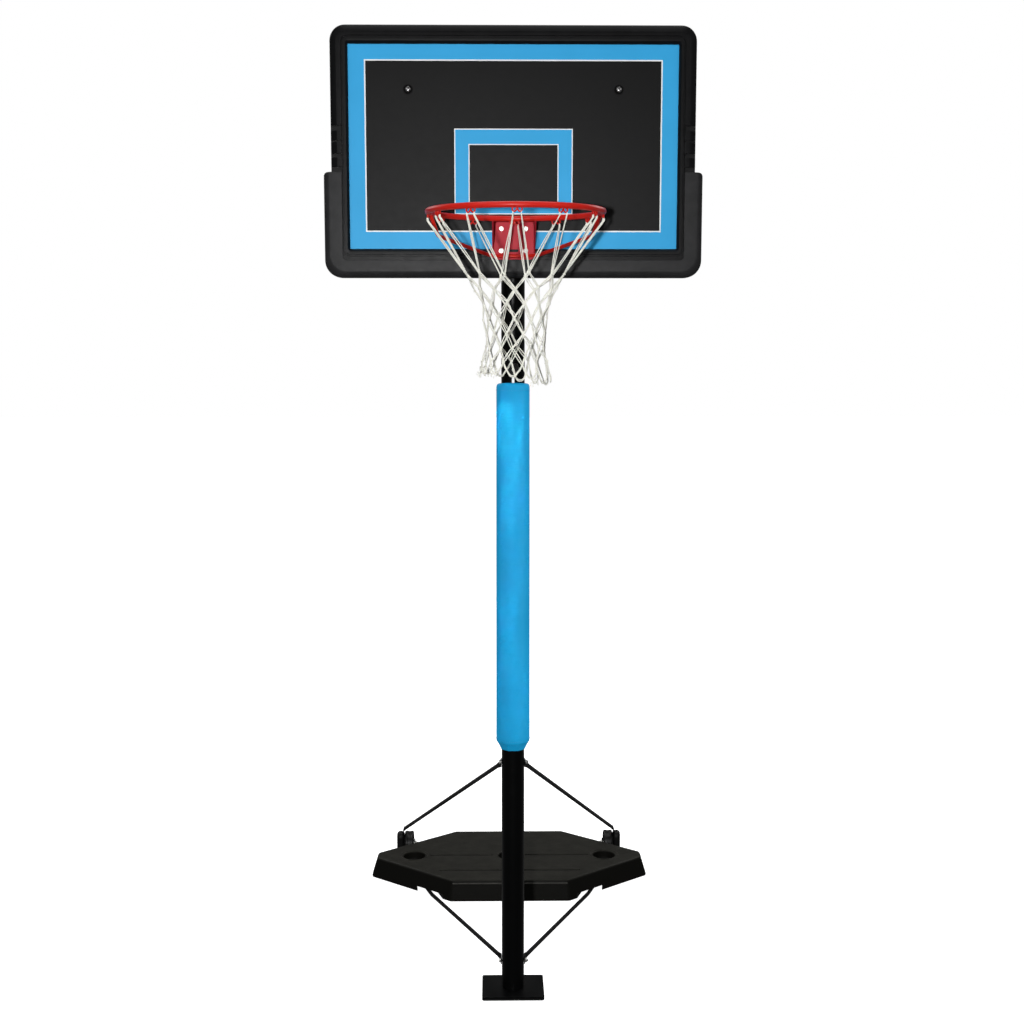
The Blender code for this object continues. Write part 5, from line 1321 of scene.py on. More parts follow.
@dataclass
class Net:
    """The knotted net: two strands from each hook, then rows of doubled diamonds and loops."""

    centre_y: float = RING_Y
    columns: int = 12
    hook_radius: float = 0.2366
    hook_half: float = 0.0108
    hook_z: float = 2.4285
    cord: float = 0.0014
    sides: int = 7
    rows: tuple[tuple[float, float], ...] = (
        (2.2765, 0.133), (2.2395, 0.109), (2.2010, 0.0925), (2.1600, 0.0835), (2.1200, 0.0800),
        (2.0830, 0.0815), (2.0435, 0.0860))
    loop_low: float = 2.0050
    loop_radius: float = 0.0930
    twist: float = -0.10
    spread: float = 0.0021
    seed: int = 11
    knot_size: float = 0.0031
    knot_rise: float = 0.0052
    knot_turns: float = 1.5
    knot_steps: int = 14
    frayed: tuple[tuple[int, int], ...] = ((7, 5), (8, 7), (9, 7), (10, 7), (4, 4))

    def wobble(self, row: int, column: int, salt: int) -> float:
        """A steady random number from -1 to 1 for a place in the net."""
        number = math.sin(row * 127.1 + column * 311.7 + salt * 74.7 + self.seed) * 43758.5453
        return 2 * (number - math.floor(number)) - 1

    def knot(self, row: int, column: int) -> Vector:
        """Where a knot hangs."""
        z, radius = self.rows[row]
        turn = 2 * math.pi * (column + 0.5 * ((row + 1) % 2)) / self.columns - math.pi / 2
        share = row / (len(self.rows) - 1)
        turn += self.twist * share + 0.06 * self.wobble(row, column % self.columns, 1)
        radius += (0.003 + 0.004 * share) * self.wobble(row, column % self.columns, 2)
        z += 0.0055 * self.wobble(row, column % self.columns, 3)
        return polar(radius, turn, z, self.centre_y)

    def outward(self, point: Vector) -> Vector:
        """The direction from the net's axis through a point."""
        return v3(point.x, point.y - self.centre_y, 0).normalized()

    def strand(self, start: Vector, end: Vector, offset: float, sag: float,
               ends: float = 0.25) -> Path:
        """One of two cords side by side between two places.

        Args:
            start: The upper place.
            end: The lower place.
            offset: How far it bows sideways.
            sag: How far it bows outwards.
            ends: The share of the sideways bow that is left at both ends.

        Returns:
            The cord's centre line.
        """
        along = (end - start).normalized()
        out = self.outward((start + end) / 2)
        side = along.cross(out).normalized()
        path = []
        for step in range(9):
            share = step / 8
            swell = math.sin(math.pi * share)
            path.append(start.lerp(end, share) + side * offset * (ends + (1 - ends) * swell)
                        + out * sag * swell)
        return path

    def hook_loops(self) -> list[Path]:
        """The hairpins that hang on the hooks and run to the first knots."""
        paths = []
        for column, angle in enumerate(full_turn(self.columns, -math.pi / 2)):
            tangent = v3(-math.sin(angle), math.cos(angle), 0)
            centre = polar(self.hook_radius, angle, self.hook_z, self.centre_y)
            for side, _ in SIDES:
                target = self.knot(0, column if side > 0 else column - 1)
                horn = centre + tangent * side * self.hook_half
                out = self.outward(horn)
                width = 0.0016 + 0.0002 * self.wobble(20, column, side)
                gap = 0.0015 + 0.0016 * max(0.0, self.wobble(21, column, side))
                one = self.strand(horn - out * width - v3(0, 0, 0.006), target, -gap, -0.0012)
                two = self.strand(horn + out * width - v3(0, 0, 0.006), target, gap, 0.0012)
                bend = [horn - out * width * 0.8 + v3(0, 0, 0.0005), horn + v3(0, 0, 0.0026),
                        horn + out * width * 0.8 + v3(0, 0, 0.0005)]
                paths.append(flowing(one[::-1] + bend + two, 2))
        return paths

    def meshes_between(self) -> list[Path]:
        """The doubled cords from knot to knot."""
        paths = []
        for row in range(len(self.rows) - 1):
            for column in range(self.columns):
                start = self.knot(row, column)
                right = column + 1 if row % 2 == 0 else column
                for target in (right, right - 1):
                    end = self.knot(row + 1, target)
                    loose = 0.0015 * self.wobble(row, column, 7 + target - right)
                    apart = self.spread * (1 + 0.75 * max(
                        -0.4, self.wobble(row + 40, column, target - right)))
                    for side in (-1, 1):
                        paths.append(self.strand(start, end, side * apart, loose + side * 0.0006,
                                                 0.6))
        return paths

    def loop_bottom(self, column: int) -> Vector:
        """The lowest place of one bottom loop, higher on the left where the ends are tied off."""
        last = len(self.rows) - 1
        out = self.outward((self.knot(last, column) + self.knot(last, column + 1)) / 2)
        low = self.loop_low - 0.016 * out.x - 0.007 * out.y + 0.005 * self.wobble(9, column, 4)
        radius = self.loop_radius + 0.005 * self.wobble(9, column, 5)
        return v3(0, self.centre_y, low) + out * radius

    def bottom_loops(self) -> list[Path]:
        """The open loops along the net's lower edge."""
        paths = []
        last = len(self.rows) - 1
        for column in range(self.columns):
            start, end = self.knot(last, column), self.knot(last, column + 1)
            low = self.loop_bottom(column)
            side = (end - start).normalized()
            for spread in (0.0, 0.0032):
                width = 0.019 + spread
                drop = v3(0, 0, -spread)
                points = [start, start.lerp(low, 0.45) - side * (0.004 + spread),
                          low - side * width * 0.66 + v3(0, 0, 0.009),
                          low - side * width * 0.28 + drop, low + side * width * 0.28 + drop,
                          low + side * width * 0.66 + v3(0, 0, 0.009),
                          end.lerp(low, 0.45) + side * (0.004 + spread), end]
                paths.append(flowing(points, 4))
        return paths

    def tassels(self) -> list[Path]:
        """Frayed ends where the cord was tied off, under some of the loops."""
        paths = []
        for column, count in self.frayed:
            root = self.loop_bottom(column)
            for strand in range(count):
                swing = self.wobble(30 + strand, column, 6) * 0.013
                reach = self.wobble(31 + strand, column, 8) * 0.008
                drop = -0.013 - 0.005 * self.wobble(strand, column, 9)
                end = root + v3(swing, reach, drop)
                middle = (root + end) / 2 + v3(swing * 0.4, 0, 0.003)
                paths.append(flowing([root + v3(-swing * 0.4, 0, 0.012), root, middle, end], 3))
        return paths

    def knots(self) -> list[Path]:
        """A small tied turn of cord round every crossing."""
        paths = []
        for row in range(len(self.rows)):
            for column in range(self.columns):
                centre = self.knot(row, column)
                out = self.outward(centre)
                side = out.cross(WORLD_UP)
                size = self.knot_size + 0.0005 * self.wobble(row, column, 12)
                tilt = 0.5 * self.wobble(row, column, 13)
                path = []
                for step in range(self.knot_steps + 1):
                    share = step / self.knot_steps
                    t = 2 * math.pi * self.knot_turns * share
                    reach = side * size * math.cos(t) + out * size * 0.8 * math.sin(t)
                    lift = (share - 0.5) * self.knot_rise + tilt * size * math.cos(t)
                    path.append(centre + reach + v3(0, 0, lift))
                paths.append(path)
        return paths

    def build(self) -> None:
        """The whole net as one piece."""
        paths = self.hook_loops() + self.meshes_between() + self.bottom_loops() + self.knots()
        cords = tubes("cords", paths, self.cord, self.sides, NET_CORD)
        frays = tubes("frays", self.tassels(), self.cord * 0.55, 5, NET_CORD)
        put("net_cords", joined("net", [cords, frays]), NET_CORD, MAST, ["net"], 80)


# Poles, pad and height lock


@dataclass
class Pole:
    """The three pole sections with their bushes and cap."""

    sides: int = 72
    strip_depth: tuple[float, float] = (0.0359, 0.0364)
    strip_half: float = 0.0038
    strip_z: tuple[float, float] = (1.9675, 1.9895)

    def turned(self, name: str, profile: Sequence[tuple[float, float]], finish: Finish, body: str,
               edge: float = 0.0005) -> None:
        """A turned piece with eased edges, in place of the CAD node of the same name."""
        mesh = lathed(name, softened_profile(profile, edge), self.sides)
        put(f"{name}_tube", mesh, finish, body, [name], 40)

    def build(self) -> None:
        """All the sections."""
        foot, joint, swage_top, lock_top = 0.0126, 1.05, 1.14, 2.295
        heel, top = 1.35, 2.744
        self.turned("lower_pole", [
            (0.0337, swage_top), (0.0337, joint - GAP), (0.036, joint - GAP), (0.036, foot),
            (0.034, foot), (0.034, joint - 0.012), (0.0317, joint), (0.0317, swage_top),
        ], BLACK_STEEL, STAND, 0.0008)
        self.turned("middle_pole", [(0.036, joint), (0.036, lock_top), (0.034, lock_top),
                                    (0.034, joint)], BLACK_STEEL, STAND, 0.0008)
        self.turned("mast_bush", [
            (0.038, lock_top + 0.004), (0.038, lock_top + GAP), (0.0337, lock_top + GAP),
            (0.0337, lock_top - 0.03), (0.03205, lock_top - 0.03), (0.03205, lock_top + 0.004),
        ], BLACK_PLASTIC, STAND)
        self.turned("upper_pole", [(0.03175, heel), (0.03175, top), (0.02975, top),
                                   (0.02975, heel)], BLACK_STEEL, MAST, 0.0008)
        self.turned("mast_foot_bush", [
            (0.02945, heel + 0.03), (0.02945, heel - GAP), (0.0337, heel - GAP),
            (0.0337, heel - 0.015), (0.008, heel - 0.015), (0.008, heel + 0.03),
        ], BLACK_PLASTIC, MAST)
        cap = [(0.0, top + 0.006), (0.0200, top + 0.0060), (0.0275, top + 0.0055),
               (0.0315, top + 0.0044), (0.0330, top + 0.0028), (0.0333, top + 0.0012),
               (0.0330, top + GAP), (0.02945, top + GAP), (0.02945, top - 0.0095),
               (0.0, top - 0.0095)]
        put("mast_cap_dome", lathed("mast_cap", cap, self.sides, closed=False), BLACK_PLASTIC, MAST,
            ["mast_cap"], 40)
        self.build_marker()

    def build_marker(self) -> None:
        """The plain white marker strip on the pole's front, above the pad."""
        (near, far), (low, high) = self.strip_depth, self.strip_z
        rings = []
        for step in range(9):
            turn = (step / 4 - 1) * self.strip_half / far
            rings.append([v3(r * math.sin(turn), -r * math.cos(turn), z)
                          for r, z in ((near, low), (far, low), (far, high), (near, high))])
        put("height_marker_strip", skinned("marker", rings), MARKER_WHITE, STAND)


@dataclass
class PolePad:
    """The vinyl-covered foam pad round the pole, whose cover is swollen by a simulation."""

    low: float = 0.811
    high: float = 1.967
    radius: float = 0.0513
    lower_radius: float = 0.0530
    bore: float = 0.0364
    end_radius: float = 0.0392
    top_radius: float = 0.0440
    draw: float = 0.027
    top_draw: float = 0.014
    crown: float = 0.004
    crown_fall: float = 0.03
    crown_back: float = 0.3
    hem: float = 0.006
    stitch_lift: float = 0.0002
    hem_stitches: int = 54
    seam_stitches: int = 150
    slit_seam: float = 0.0085
    seam_ends: tuple[float, float] = (0.036, 0.024)
    swell_from: tuple[float, float] = (2.5, 3.5)
    facet_depth: float = 0.55
    facet_fade: float = 3.0
    end_power: float = 2.4
    slit_half: float = 0.002
    facets: int = 8
    around: int = 120
    rows: int = 96
    core_radius: float = 0.0485
    core_end: float = 0.004
    held_end: float = 0.022
    held_slit: float = 0.007
    stiffness: float = 12.0
    bending: float = 0.4
    voxel: float = 0.006
    pressure: float = 4.0
    frames: int = 20
    most_swell: float = 0.0026
    swollen: Optional[BVHTree] = None

    def swell(self, z: float, turn: float) -> float:
        """How far the simulated cover stands out from where it started, capped."""
        if self.swollen is None:
            return 0.6 * self.most_swell
        hit = self.swollen.ray_cast(v3(0, 0, z), polar(1.0, turn, 0))[0]
        if hit is None:
            return 0.0
        return min(self.most_swell, max(0.0, v3(hit.x, hit.y, 0).length - self.core_radius))

    def reach(self, z: float, turn: float) -> float:
        """The pad's outer radius at a height and an angle."""
        above = (z - self.low) / self.draw
        below = (self.high - z) / self.top_draw
        share = (z - self.low) / (self.high - self.low)
        held = max(0.0, min(1.0, above / self.swell_from[0], below / self.swell_from[1]))
        radius = self.lower_radius + (self.radius - self.lower_radius) * share
        radius += self.swell(z, turn) * held
        whole = radius
        if above < 1.0:
            step = 2 * math.pi / self.facets
            off = (turn + math.pi / 2 + step / 2) % step - step / 2
            flat = math.cos(step / 2) / math.cos(off)
            drop = 1 - above
            radius -= (whole - self.end_radius) * drop
            radius *= 1 + (flat - 1) * min(1.0, drop * self.facet_fade) * self.facet_depth
        if below < 1.0:
            bend = 1 - math.sqrt(max(0.0, 1 - (1 - below) ** self.end_power))
            radius -= (whole - self.top_radius) * bend
        return radius

    def heights(self) -> list[float]:
        """The heights of the pad's rings."""
        low = [self.low + self.draw * share
               for share in (0, 0.05, 0.15, 0.35, 0.6, 0.85, 0.97, 1.03)]
        high = [self.high - self.top_draw * share
                for share in (1.0, 0.75, 0.5, 0.3, 0.15, 0.06, 0.0)]
        first, last = low[-1], high[0]
        between = [first + (last - first) * step / self.rows for step in range(1, self.rows)]
        return low + between + high

    def round_from_slit(self, radius: float, way: int) -> list[float]:
        """The angles from one edge of the slit round to the other, at a radius."""
        edge = self.slit_half / radius
        return [math.pi / 2 + way * (edge + 2 * (math.pi - edge) * step / self.around)
                for step in range(self.around + 1)]

    def ring(self, z: float) -> list[Vector]:
        """One closed section: the outer face, the slit's edges and the bore."""
        rise = self.crown * max(0.0, (z - self.high) / self.crown_fall + 1)
        outer = [polar(self.reach(z, turn), turn,
                       z + rise * max(-self.crown_back, -math.sin(turn)))
                 for turn in self.round_from_slit(self.radius, 1)]
        return outer + [polar(self.bore, turn, z) for turn in self.round_from_slit(self.bore, -1)]

    def simulate(self) -> BVHTree:
        """Swells a slimmer closed core as cloth under the foam's pressure.

        Returns:
            The swollen cover, for rays to be cast at.
        """
        low, span = self.low + self.core_end, self.high - self.low - 2 * self.core_end
        core = linked("pad_core", skinned("core", [
            [polar(self.core_radius, turn, low + span * step / 60) for turn in full_turn(48)]
            for step in range(61)]))
        remesh = core.modifiers.new("voxels", "REMESH")
        remesh.mode, remesh.voxel_size = "VOXEL", self.voxel
        core.data = result_of(core)
        core.modifiers.remove(remesh)
        seam = [v.index for v in core.data.vertices
                if min(v.co.z - self.low, self.high - v.co.z) < self.held_end
                or (v.co.y > 0 and abs(v.co.x) < self.held_slit)]
        core.vertex_groups.new(name="held").add(seam, 1.0, "REPLACE")
        cloth = core.modifiers.new("cover", "CLOTH")
        settings = cloth.settings
        settings.quality, settings.mass = 6, 0.3
        settings.tension_stiffness = settings.compression_stiffness = self.stiffness
        settings.bending_stiffness = self.bending
        settings.use_pressure, settings.uniform_pressure_force = True, self.pressure
        settings.vertex_group_mass = "held"
        settings.effector_weights.gravity = 0.0
        cloth.point_cache.frame_start, cloth.point_cache.frame_end = 1, self.frames
        scene = bpy.context.scene
        for number in range(1, self.frames + 1):
            scene.frame_set(number)
        mesh = result_of(core)
        reach = [v3(v.co.x, v.co.y, 0).length for v in mesh.vertices]
        LOG.info("pad cover: %d points, out to %.1f mm", len(reach), 1000 * max(reach))
        tree = BVHTree.FromPolygons([v.co.copy() for v in mesh.vertices],
                                    [tuple(p.vertices) for p in mesh.polygons])
        core.modifiers.remove(cloth)
        bpy.data.objects.remove(core)
        bpy.data.meshes.remove(mesh)
        scene.frame_set(1)
        return tree

    def on_cover(self, z: float, turn: float) -> Vector:
        """Where a stitch lies on the cover."""
        return polar(self.reach(z, turn) + self.stitch_lift, turn, z)

    def stitches(self) -> bpy.types.Mesh:
        """The sewn rows along both hems and along the slit's edges."""
        places = []
        for z in (self.low + self.draw + self.hem, self.high - self.top_draw - self.hem):
            places += [(self.on_cover(z, turn), v3(-math.sin(turn), math.cos(turn), 0), 1.0)
                       for turn in full_turn(self.hem_stitches, math.pi / 2)[1:]]
        first, last = self.low + self.seam_ends[0], self.high - self.seam_ends[1]
        for side, _ in SIDES:
            turn = math.pi / 2 + side * self.slit_seam / self.radius
            for step in range(self.seam_stitches):
                z = first + (last - first) * (step + 0.5) / self.seam_stitches
                places.append((self.on_cover(z, turn), WORLD_UP, 1.0))
        profile = [(0.0, -0.0021), (0.00035, -0.0019), (0.0006, -0.0012), (0.0006, 0.0012),
                   (0.00035, 0.0019), (0.0, 0.0021)]
        stitch = lathed("stitch", profile, 8, closed=False)
        return fixed_on(Fixing.STITCH, stitch, places, PAD_THREAD)

    def build(self) -> None:
        """The pad."""
        self.swollen = self.simulate()
        mesh = skinned("pad", [self.ring(z) for z in self.heights()])
        pad = put("pole_pad_cover", bevelled(mesh, 0.0012, 2, 50), PAD_VINYL, STAND,
                  ["pole_pad"], 40)
        put("pole_pad_stitches", self.stitches(), PAD_THREAD, STAND, angle=80)


@dataclass
class HeightLock:
    """The clamp knob on its zinc stud, and the boss that it screws into."""

    z: float = 2.01
    low: float = 0.0466
    radius: float = 0.020
    lobes: int = 6
    wave: float = 0.09
    face: float = 0.0146
    stud_low: float = 0.03205
    stud_high: float = 0.0580
    stud_r: float = 0.004
    steps: int = 96

    def facing(self) -> Matrix:
        """Turns a shape that stands up along Z to face forwards at the lock."""
        return Matrix.Translation((0, 0, self.z)) @ Matrix.Rotation(math.pi / 2, 4, "X")

    def build(self) -> None:
        """Knob, insert, stud and boss."""
        profile = [(0.0, 0.0), (0.62, 0.0), (0.90, 0.0006), (0.965, 0.0022), (1.0, 0.0045),
                   (1.0, 0.0105), (0.985, 0.0130), (0.93, 0.0150), (0.84, 0.0159), (0.50, 0.0160),
                   (0.34, 0.0156), (0.30, 0.0148), (0.0, self.face)]
        rings = []
        for share, lift in profile[1:-1]:
            swing = self.wave * max(0.0, (share - 0.4) / 0.6)
            rings.append([polar(self.radius * share * (1 + swing * math.cos(self.lobes * angle)),
                                angle, self.low + lift) for angle in full_turn(self.steps)])
        knob = skinned("knob", rings)
        bore, end = self.stud_r + GAP, self.stud_high + GAP
        socket = lathed("socket", [(0.0, 0.03), (bore, 0.03), (bore, end), (0.0, end)], 32,
                        closed=False)
        knob = carved(knob, [socket])
        knob.transform(self.facing())
        put("lock_knob_grip", knob, BLACK_PLASTIC, "lock_knob", ["lock_knob"], 45)
        top = self.low + self.face
        plate = lathed("insert", [(0.0, top + 0.0008), (0.0044, top + 0.0008), (0.0052, top),
                                  (0.0052, top - 0.0004), (0.0, top - 0.0004)], 32,
                       self.facing(), closed=False)
        put("lock_knob_insert", plate, ZINC, "lock_knob", angle=40)
        stud = self.threaded(self.stud_low, self.stud_high, self.stud_r)
        stud.transform(self.facing())
        put("lock_stud_thread", stud, ZINC, "lock_stud", ["lock_stud"], 50)
        boss = eased_copy("lock_boss", 0.0005, 2, 50)
        put("lock_boss_weld", boss, BLACK_STEEL, STAND, ["lock_boss"], 40)

    @staticmethod
    def threaded(low: float, high: float, radius: float) -> bpy.types.Mesh:
        """A rod with thread ridges that stay inside its radius."""
        pitch, profile = 0.00125, [(0.0, low), (radius * 0.8, low)]
        count = int((high - low - 0.001) / pitch)
        for index in range(count):
            z = low + 0.0005 + index * pitch
            profile += [(radius * 0.86, z), (radius, z + pitch * 0.5)]
        profile += [(radius * 0.86, high - 0.0005), (radius * 0.8, high), (0.0, high)]
        return lathed("thread", profile, 24, closed=False)


# Base


@dataclass
class BaseTank:
    """The blow-moulded base tank with its wells, grooves and ledge."""

    middle_y: float = 0.992
    height: float = 0.080
    bottom: tuple[float, float, float] = (0.225, 0.280, 0.540)
    top: tuple[float, float, float] = (0.218, 0.266, 0.516)
    tip_half: float = 0.030
    well_x: float = WELL[0]
    well_y: float = WELL[1]
    well_r: float = 0.043
    well_floor: float = 0.050
    lip: float = 0.005
    channel: float = 0.0205
    strut_channel: tuple[float, float] = (0.448, 0.070)
    wheel_channel: tuple[float, float] = (0.336, 0.042)
    wheel_shift: float = 0.004
    groove_size: tuple[float, float] = (0.0070, 0.0046)
    groove_gap: float = 1.42
    front_groove: tuple[float, float] = (0.270, 0.826)
    neck: tuple[float, float] = (0.0165, 0.0265)
    ledge_x: float = 0.2165
    ledge_y: tuple[float, float] = (0.7208, 0.7300)
    ledge_z: tuple[float, float] = (0.0655, 0.0705)
    boot_x: tuple[float, float] = (0.4240, 0.4550)
    boot_z: tuple[float, float] = (0.040, 0.101)
    boot_half: float = 0.025
    boot_edge: float = 0.0130

    def outline(self, size: tuple[float, float, float], inset: float,
                z: float) -> list[Vector]:
        """The eight-sided plan at a height, moved inwards by an inset."""
        edge_x, edge_y, tip_x = size
        corners = [(edge_x, -edge_y), (tip_x, -self.tip_half), (tip_x, self.tip_half),
                   (edge_x, edge_y), (-edge_x, edge_y), (-tip_x, self.tip_half),
                   (-tip_x, -self.tip_half), (-edge_x, -edge_y)]
        ring = []
        for index, corner in enumerate(corners):
            point = Vector(corner)
            back = (point - Vector(corners[index - 1])).normalized()
            on = (Vector(corners[(index + 1) % 8]) - point).normalized()
            normals = Vector((back.y, -back.x)), Vector((on.y, -on.x))
            shift = (normals[0] + normals[1]) / (1 + normals[0].dot(normals[1]))
            moved = point - shift * inset
            ring.append(v3(moved.x, self.middle_y + moved.y, z))
        return ring

    def well_tool(self, x: float) -> bpy.types.Mesh:
        """The shape of one well's space, with its mouth flared and its floor filleted."""
        r, low, top, lip = self.well_r, self.well_floor, self.height, self.lip
        profile = [(0.0, top + 0.02), (r + lip, top + 0.02), (r + lip, top + 0.0004)]
        for step in range(7):
            turn = math.pi / 2 * step / 6
            profile.append((r + lip * (1 - math.sin(turn)), top - lip * (1 - math.cos(turn))))
        for step in range(6):
            turn = math.pi / 2 * step / 5
            profile.append((r - 0.004 * (1 - math.cos(turn)), low + 0.004 * (1 - math.sin(turn))))
        profile.append((0.0, low))
        return lathed("well", profile, 72, Matrix.Translation((x, self.well_y, 0)), closed=False)

    def channel_tool(self, side: int, length: float, width: float, turn: float,
                     shift: float = 0.0) -> bpy.types.Mesh:
        """A box that cuts a channel under the tank from behind a well's axis."""
        half = width / 2
        mesh = boxed("channel", (-half, -self.well_r / 2, -self.height),
                     (half, length, self.channel))
        mesh.transform(Matrix.Translation((side * self.well_x + shift, self.well_y, 0))
                       @ Matrix.Rotation(turn, 4, "Z"))
        return mesh

    def groove_tool(self, low_x: float, high_x: float, y: float) -> bpy.types.Mesh:
        """A rounded groove along X in the top."""
        (half, depth), rings = self.groove_size, []
        for x, scale in ((low_x, 0.05), (low_x + 0.001, 0.6), (low_x + 0.004, 1.0),
                         (high_x - 0.004, 1.0), (high_x - 0.001, 0.6), (high_x, 0.05)):
            ring = []
            for step in range(13):
                angle = math.pi * (1 + step / 12)
                ring.append(v3(x, y + half * math.cos(angle) * scale,
                               self.height + depth * math.sin(angle) * scale))
            ring.append(v3(x, y + half * scale, self.height + 0.006))
            ring.append(v3(x, y - half * scale, self.height + 0.006))
            rings.append(ring)
        return skinned("groove", rings)

    def collar(self, x: float) -> bpy.types.Mesh:
        """The low raised ring round a well."""
        inner, outer, top = self.well_r + self.lip + 0.001, self.well_r + 0.016, self.height
        profile = []
        for step in range(9):
            share = step / 8
            profile.append((inner + (outer - inner) * share,
                            top - 0.001 + 0.0024 * math.sin(math.pi * share)))
        profile += [(outer, top - 0.004), (inner, top - 0.004)]
        return lathed("collar", profile, 72, Matrix.Translation((x, self.well_y, 0)))

    def boot(self, side: int) -> bpy.types.Mesh:
        """The moulded cover over an upper strut's lower end, outside the wheel."""
        (low, high), half = self.boot_z, self.boot_half
        plan = arc(AXLE[0], high - half, half, 0, 180, 12) + arc(AXLE[0], low, half, 180, 180, 12)
        rings = [[v3(x, y, z) for y, z in plan] for x in sorted(side * x for x in self.boot_x)]
        return bevelled(skinned("boot", rings), self.boot_edge, 6, 40)

    def build(self) -> None:
        """The tank."""
        body = skinned("tank", [self.outline(self.bottom, 0, 0.0),
                                self.outline(self.top, 0, self.height)])
        body = bevelled(body, 0.009, 6, 20)
        body = carved(body, [self.collar(x) for x in (-self.well_x, self.well_x)], "UNION")
        plan = math.atan2(self.well_x - POLE_LUG_X, self.well_y)
        tools = [self.well_tool(x) for x in (-self.well_x, 0.0, self.well_x)]
        for side, _ in SIDES:
            tools.append(self.channel_tool(side, *self.strut_channel, math.pi - side * plan))
            tools.append(self.channel_tool(side, *self.wheel_channel, 0.0, -side * self.wheel_shift))
        gap, (groove_x, groove_y) = self.well_r * self.groove_gap, self.front_groove
        tools += [self.groove_tool(-self.well_x + gap, -gap, self.well_y),
                  self.groove_tool(gap, self.well_x - gap, self.well_y),
                  self.groove_tool(-groove_x, groove_x, groove_y)]
        radius, floor = self.neck
        neck = lathed("neck", [(0.0, 0.2), (radius, 0.2), (radius, floor), (0.0, floor)], 48,
                      Matrix.Translation((0, self.well_y, 0)), closed=False)
        body = carved(carved(body, tools), [neck])
        put("base_tank_shell", body, BASE_PLASTIC, STAND, ["base_tank"], 32)
        ledge = boxed("ledge", (-self.ledge_x, self.ledge_y[0], self.ledge_z[0]),
                      (self.ledge_x, self.ledge_y[1], self.ledge_z[1]))
        # The ledge's paler plastic is a painted highlight line along the front top edge.
        put("base_front_ledge", bevelled(ledge, 0.0018, 3), BASE_LEDGE_HIGHLIGHT, STAND)
        for side, label in SIDES:
            put(f"{label}_strut_boot", self.boot(side), BOOT_PLASTIC, STAND, angle=50)


@dataclass
class Filler:
    """The screw cap of the base with its grip bar, and the seal under it."""

    y: float = WELL[1]
    radius: float = 0.028
    seat: float = 0.0526
    top: float = 0.0596
    plug: float = 0.0159
    low: float = 0.029
    ribs: int = 36

    def build(self) -> None:
        """Cap and seal."""
        place = Matrix.Translation((0, self.y, 0))
        r, top, seat = self.radius, self.top, self.seat
        profile = [(0.0, top), (r * 0.86, top), (r * 0.93, top - 0.0004), (r * 0.975, top - 0.0016),
                   (r * 0.975, seat + 0.0006), (r * 0.96, seat), (self.plug, seat),
                   (self.plug, self.low + 0.0012), (self.plug - 0.0012, self.low), (0.0, self.low)]
        cap = lathed("cap", profile, 72, place, closed=False)
        rib = bevelled(boxed("rib", (r * 0.955, -0.0007, seat + 0.0008), (r, 0.0007, top - 0.0014)),
                       0.0003, 2)
        ribs = grown(rib, WHEEL_OF, {"Count": self.ribs, "Centre": (0, self.y, 0)}, BLACK_PLASTIC)
        bar = bevelled(boxed("bar", (-r * 0.8, -0.004, top - 0.002), (r * 0.8, 0.004, top + 0.011)),
                       0.0022, 4)
        bar.transform(place)
        put("filler_cap_grip", joined("cap", [cap, ribs, bar]), BLACK_PLASTIC, "filler_cap",
            ["filler_cap"], 40)
        seal = lathed("seal", softened_profile([(0.023, 0.0523), (0.0165, 0.0523), (0.0165, 0.0503),
                                                (0.023, 0.0503)], 0.0006), 64, place)
        put("cap_seal_ring", seal, RUBBER, "cap_seal", ["cap_seal"], 40)


@dataclass
class Wheel:
    """One transport wheel with ribbed webs and a grooved tread."""

    side: int
    x: float = 0.405
    y: float = AXLE[0]
    z: float = AXLE[1]
    radius: float = 0.048
    half: float = 0.018
    ribs: int = 8

    def build(self) -> None:
        """The wheel."""
        label = "left" if self.side < 0 else "right"
        r, half, web = self.radius, self.half, 0.0058
        outer = [(0.0132, half - 0.0002), (0.0145, half - 0.0014), (0.0150, web + 0.001),
                 (0.0165, web), (0.0355, web), (0.0372, web + 0.0012), (0.0392, half - 0.0012),
                 (0.0402, half - 0.0002), (r - 0.0046, half - 0.0002), (r - 0.0022, half - 0.0012),
                 (r - 0.0006, half - 0.0034), (r, half - 0.0062), (r, 0.0062), (r - 0.0012, 0.0052),
                 (r - 0.0012, 0.0012)]
        profile = [(0.0043, half - 0.0002)] + outer + [(a, -b) for a, b in reversed(outer)]
        profile.append((0.0043, -half + 0.0002))
        wheel = lathed("wheel", profile, 72)
        rib = bevelled(boxed("rib", (0.0140, -0.0013, -0.0150), (0.0385, 0.0013, 0.0150)),
                       0.0005, 2)
        ribs = grown(rib, WHEEL_OF, {"Count": self.ribs}, WHEEL_PLASTIC)
        mesh = joined("wheel", [wheel, ribs])
        mesh.transform(Matrix.Translation((self.side * self.x, self.y, self.z))
                       @ Matrix.Rotation(math.pi / 2, 4, "Y"))
        body = f"{label}_wheel"
        put(f"{body}_moulding", mesh, WHEEL_PLASTIC, body, [body], 35)


# Struts


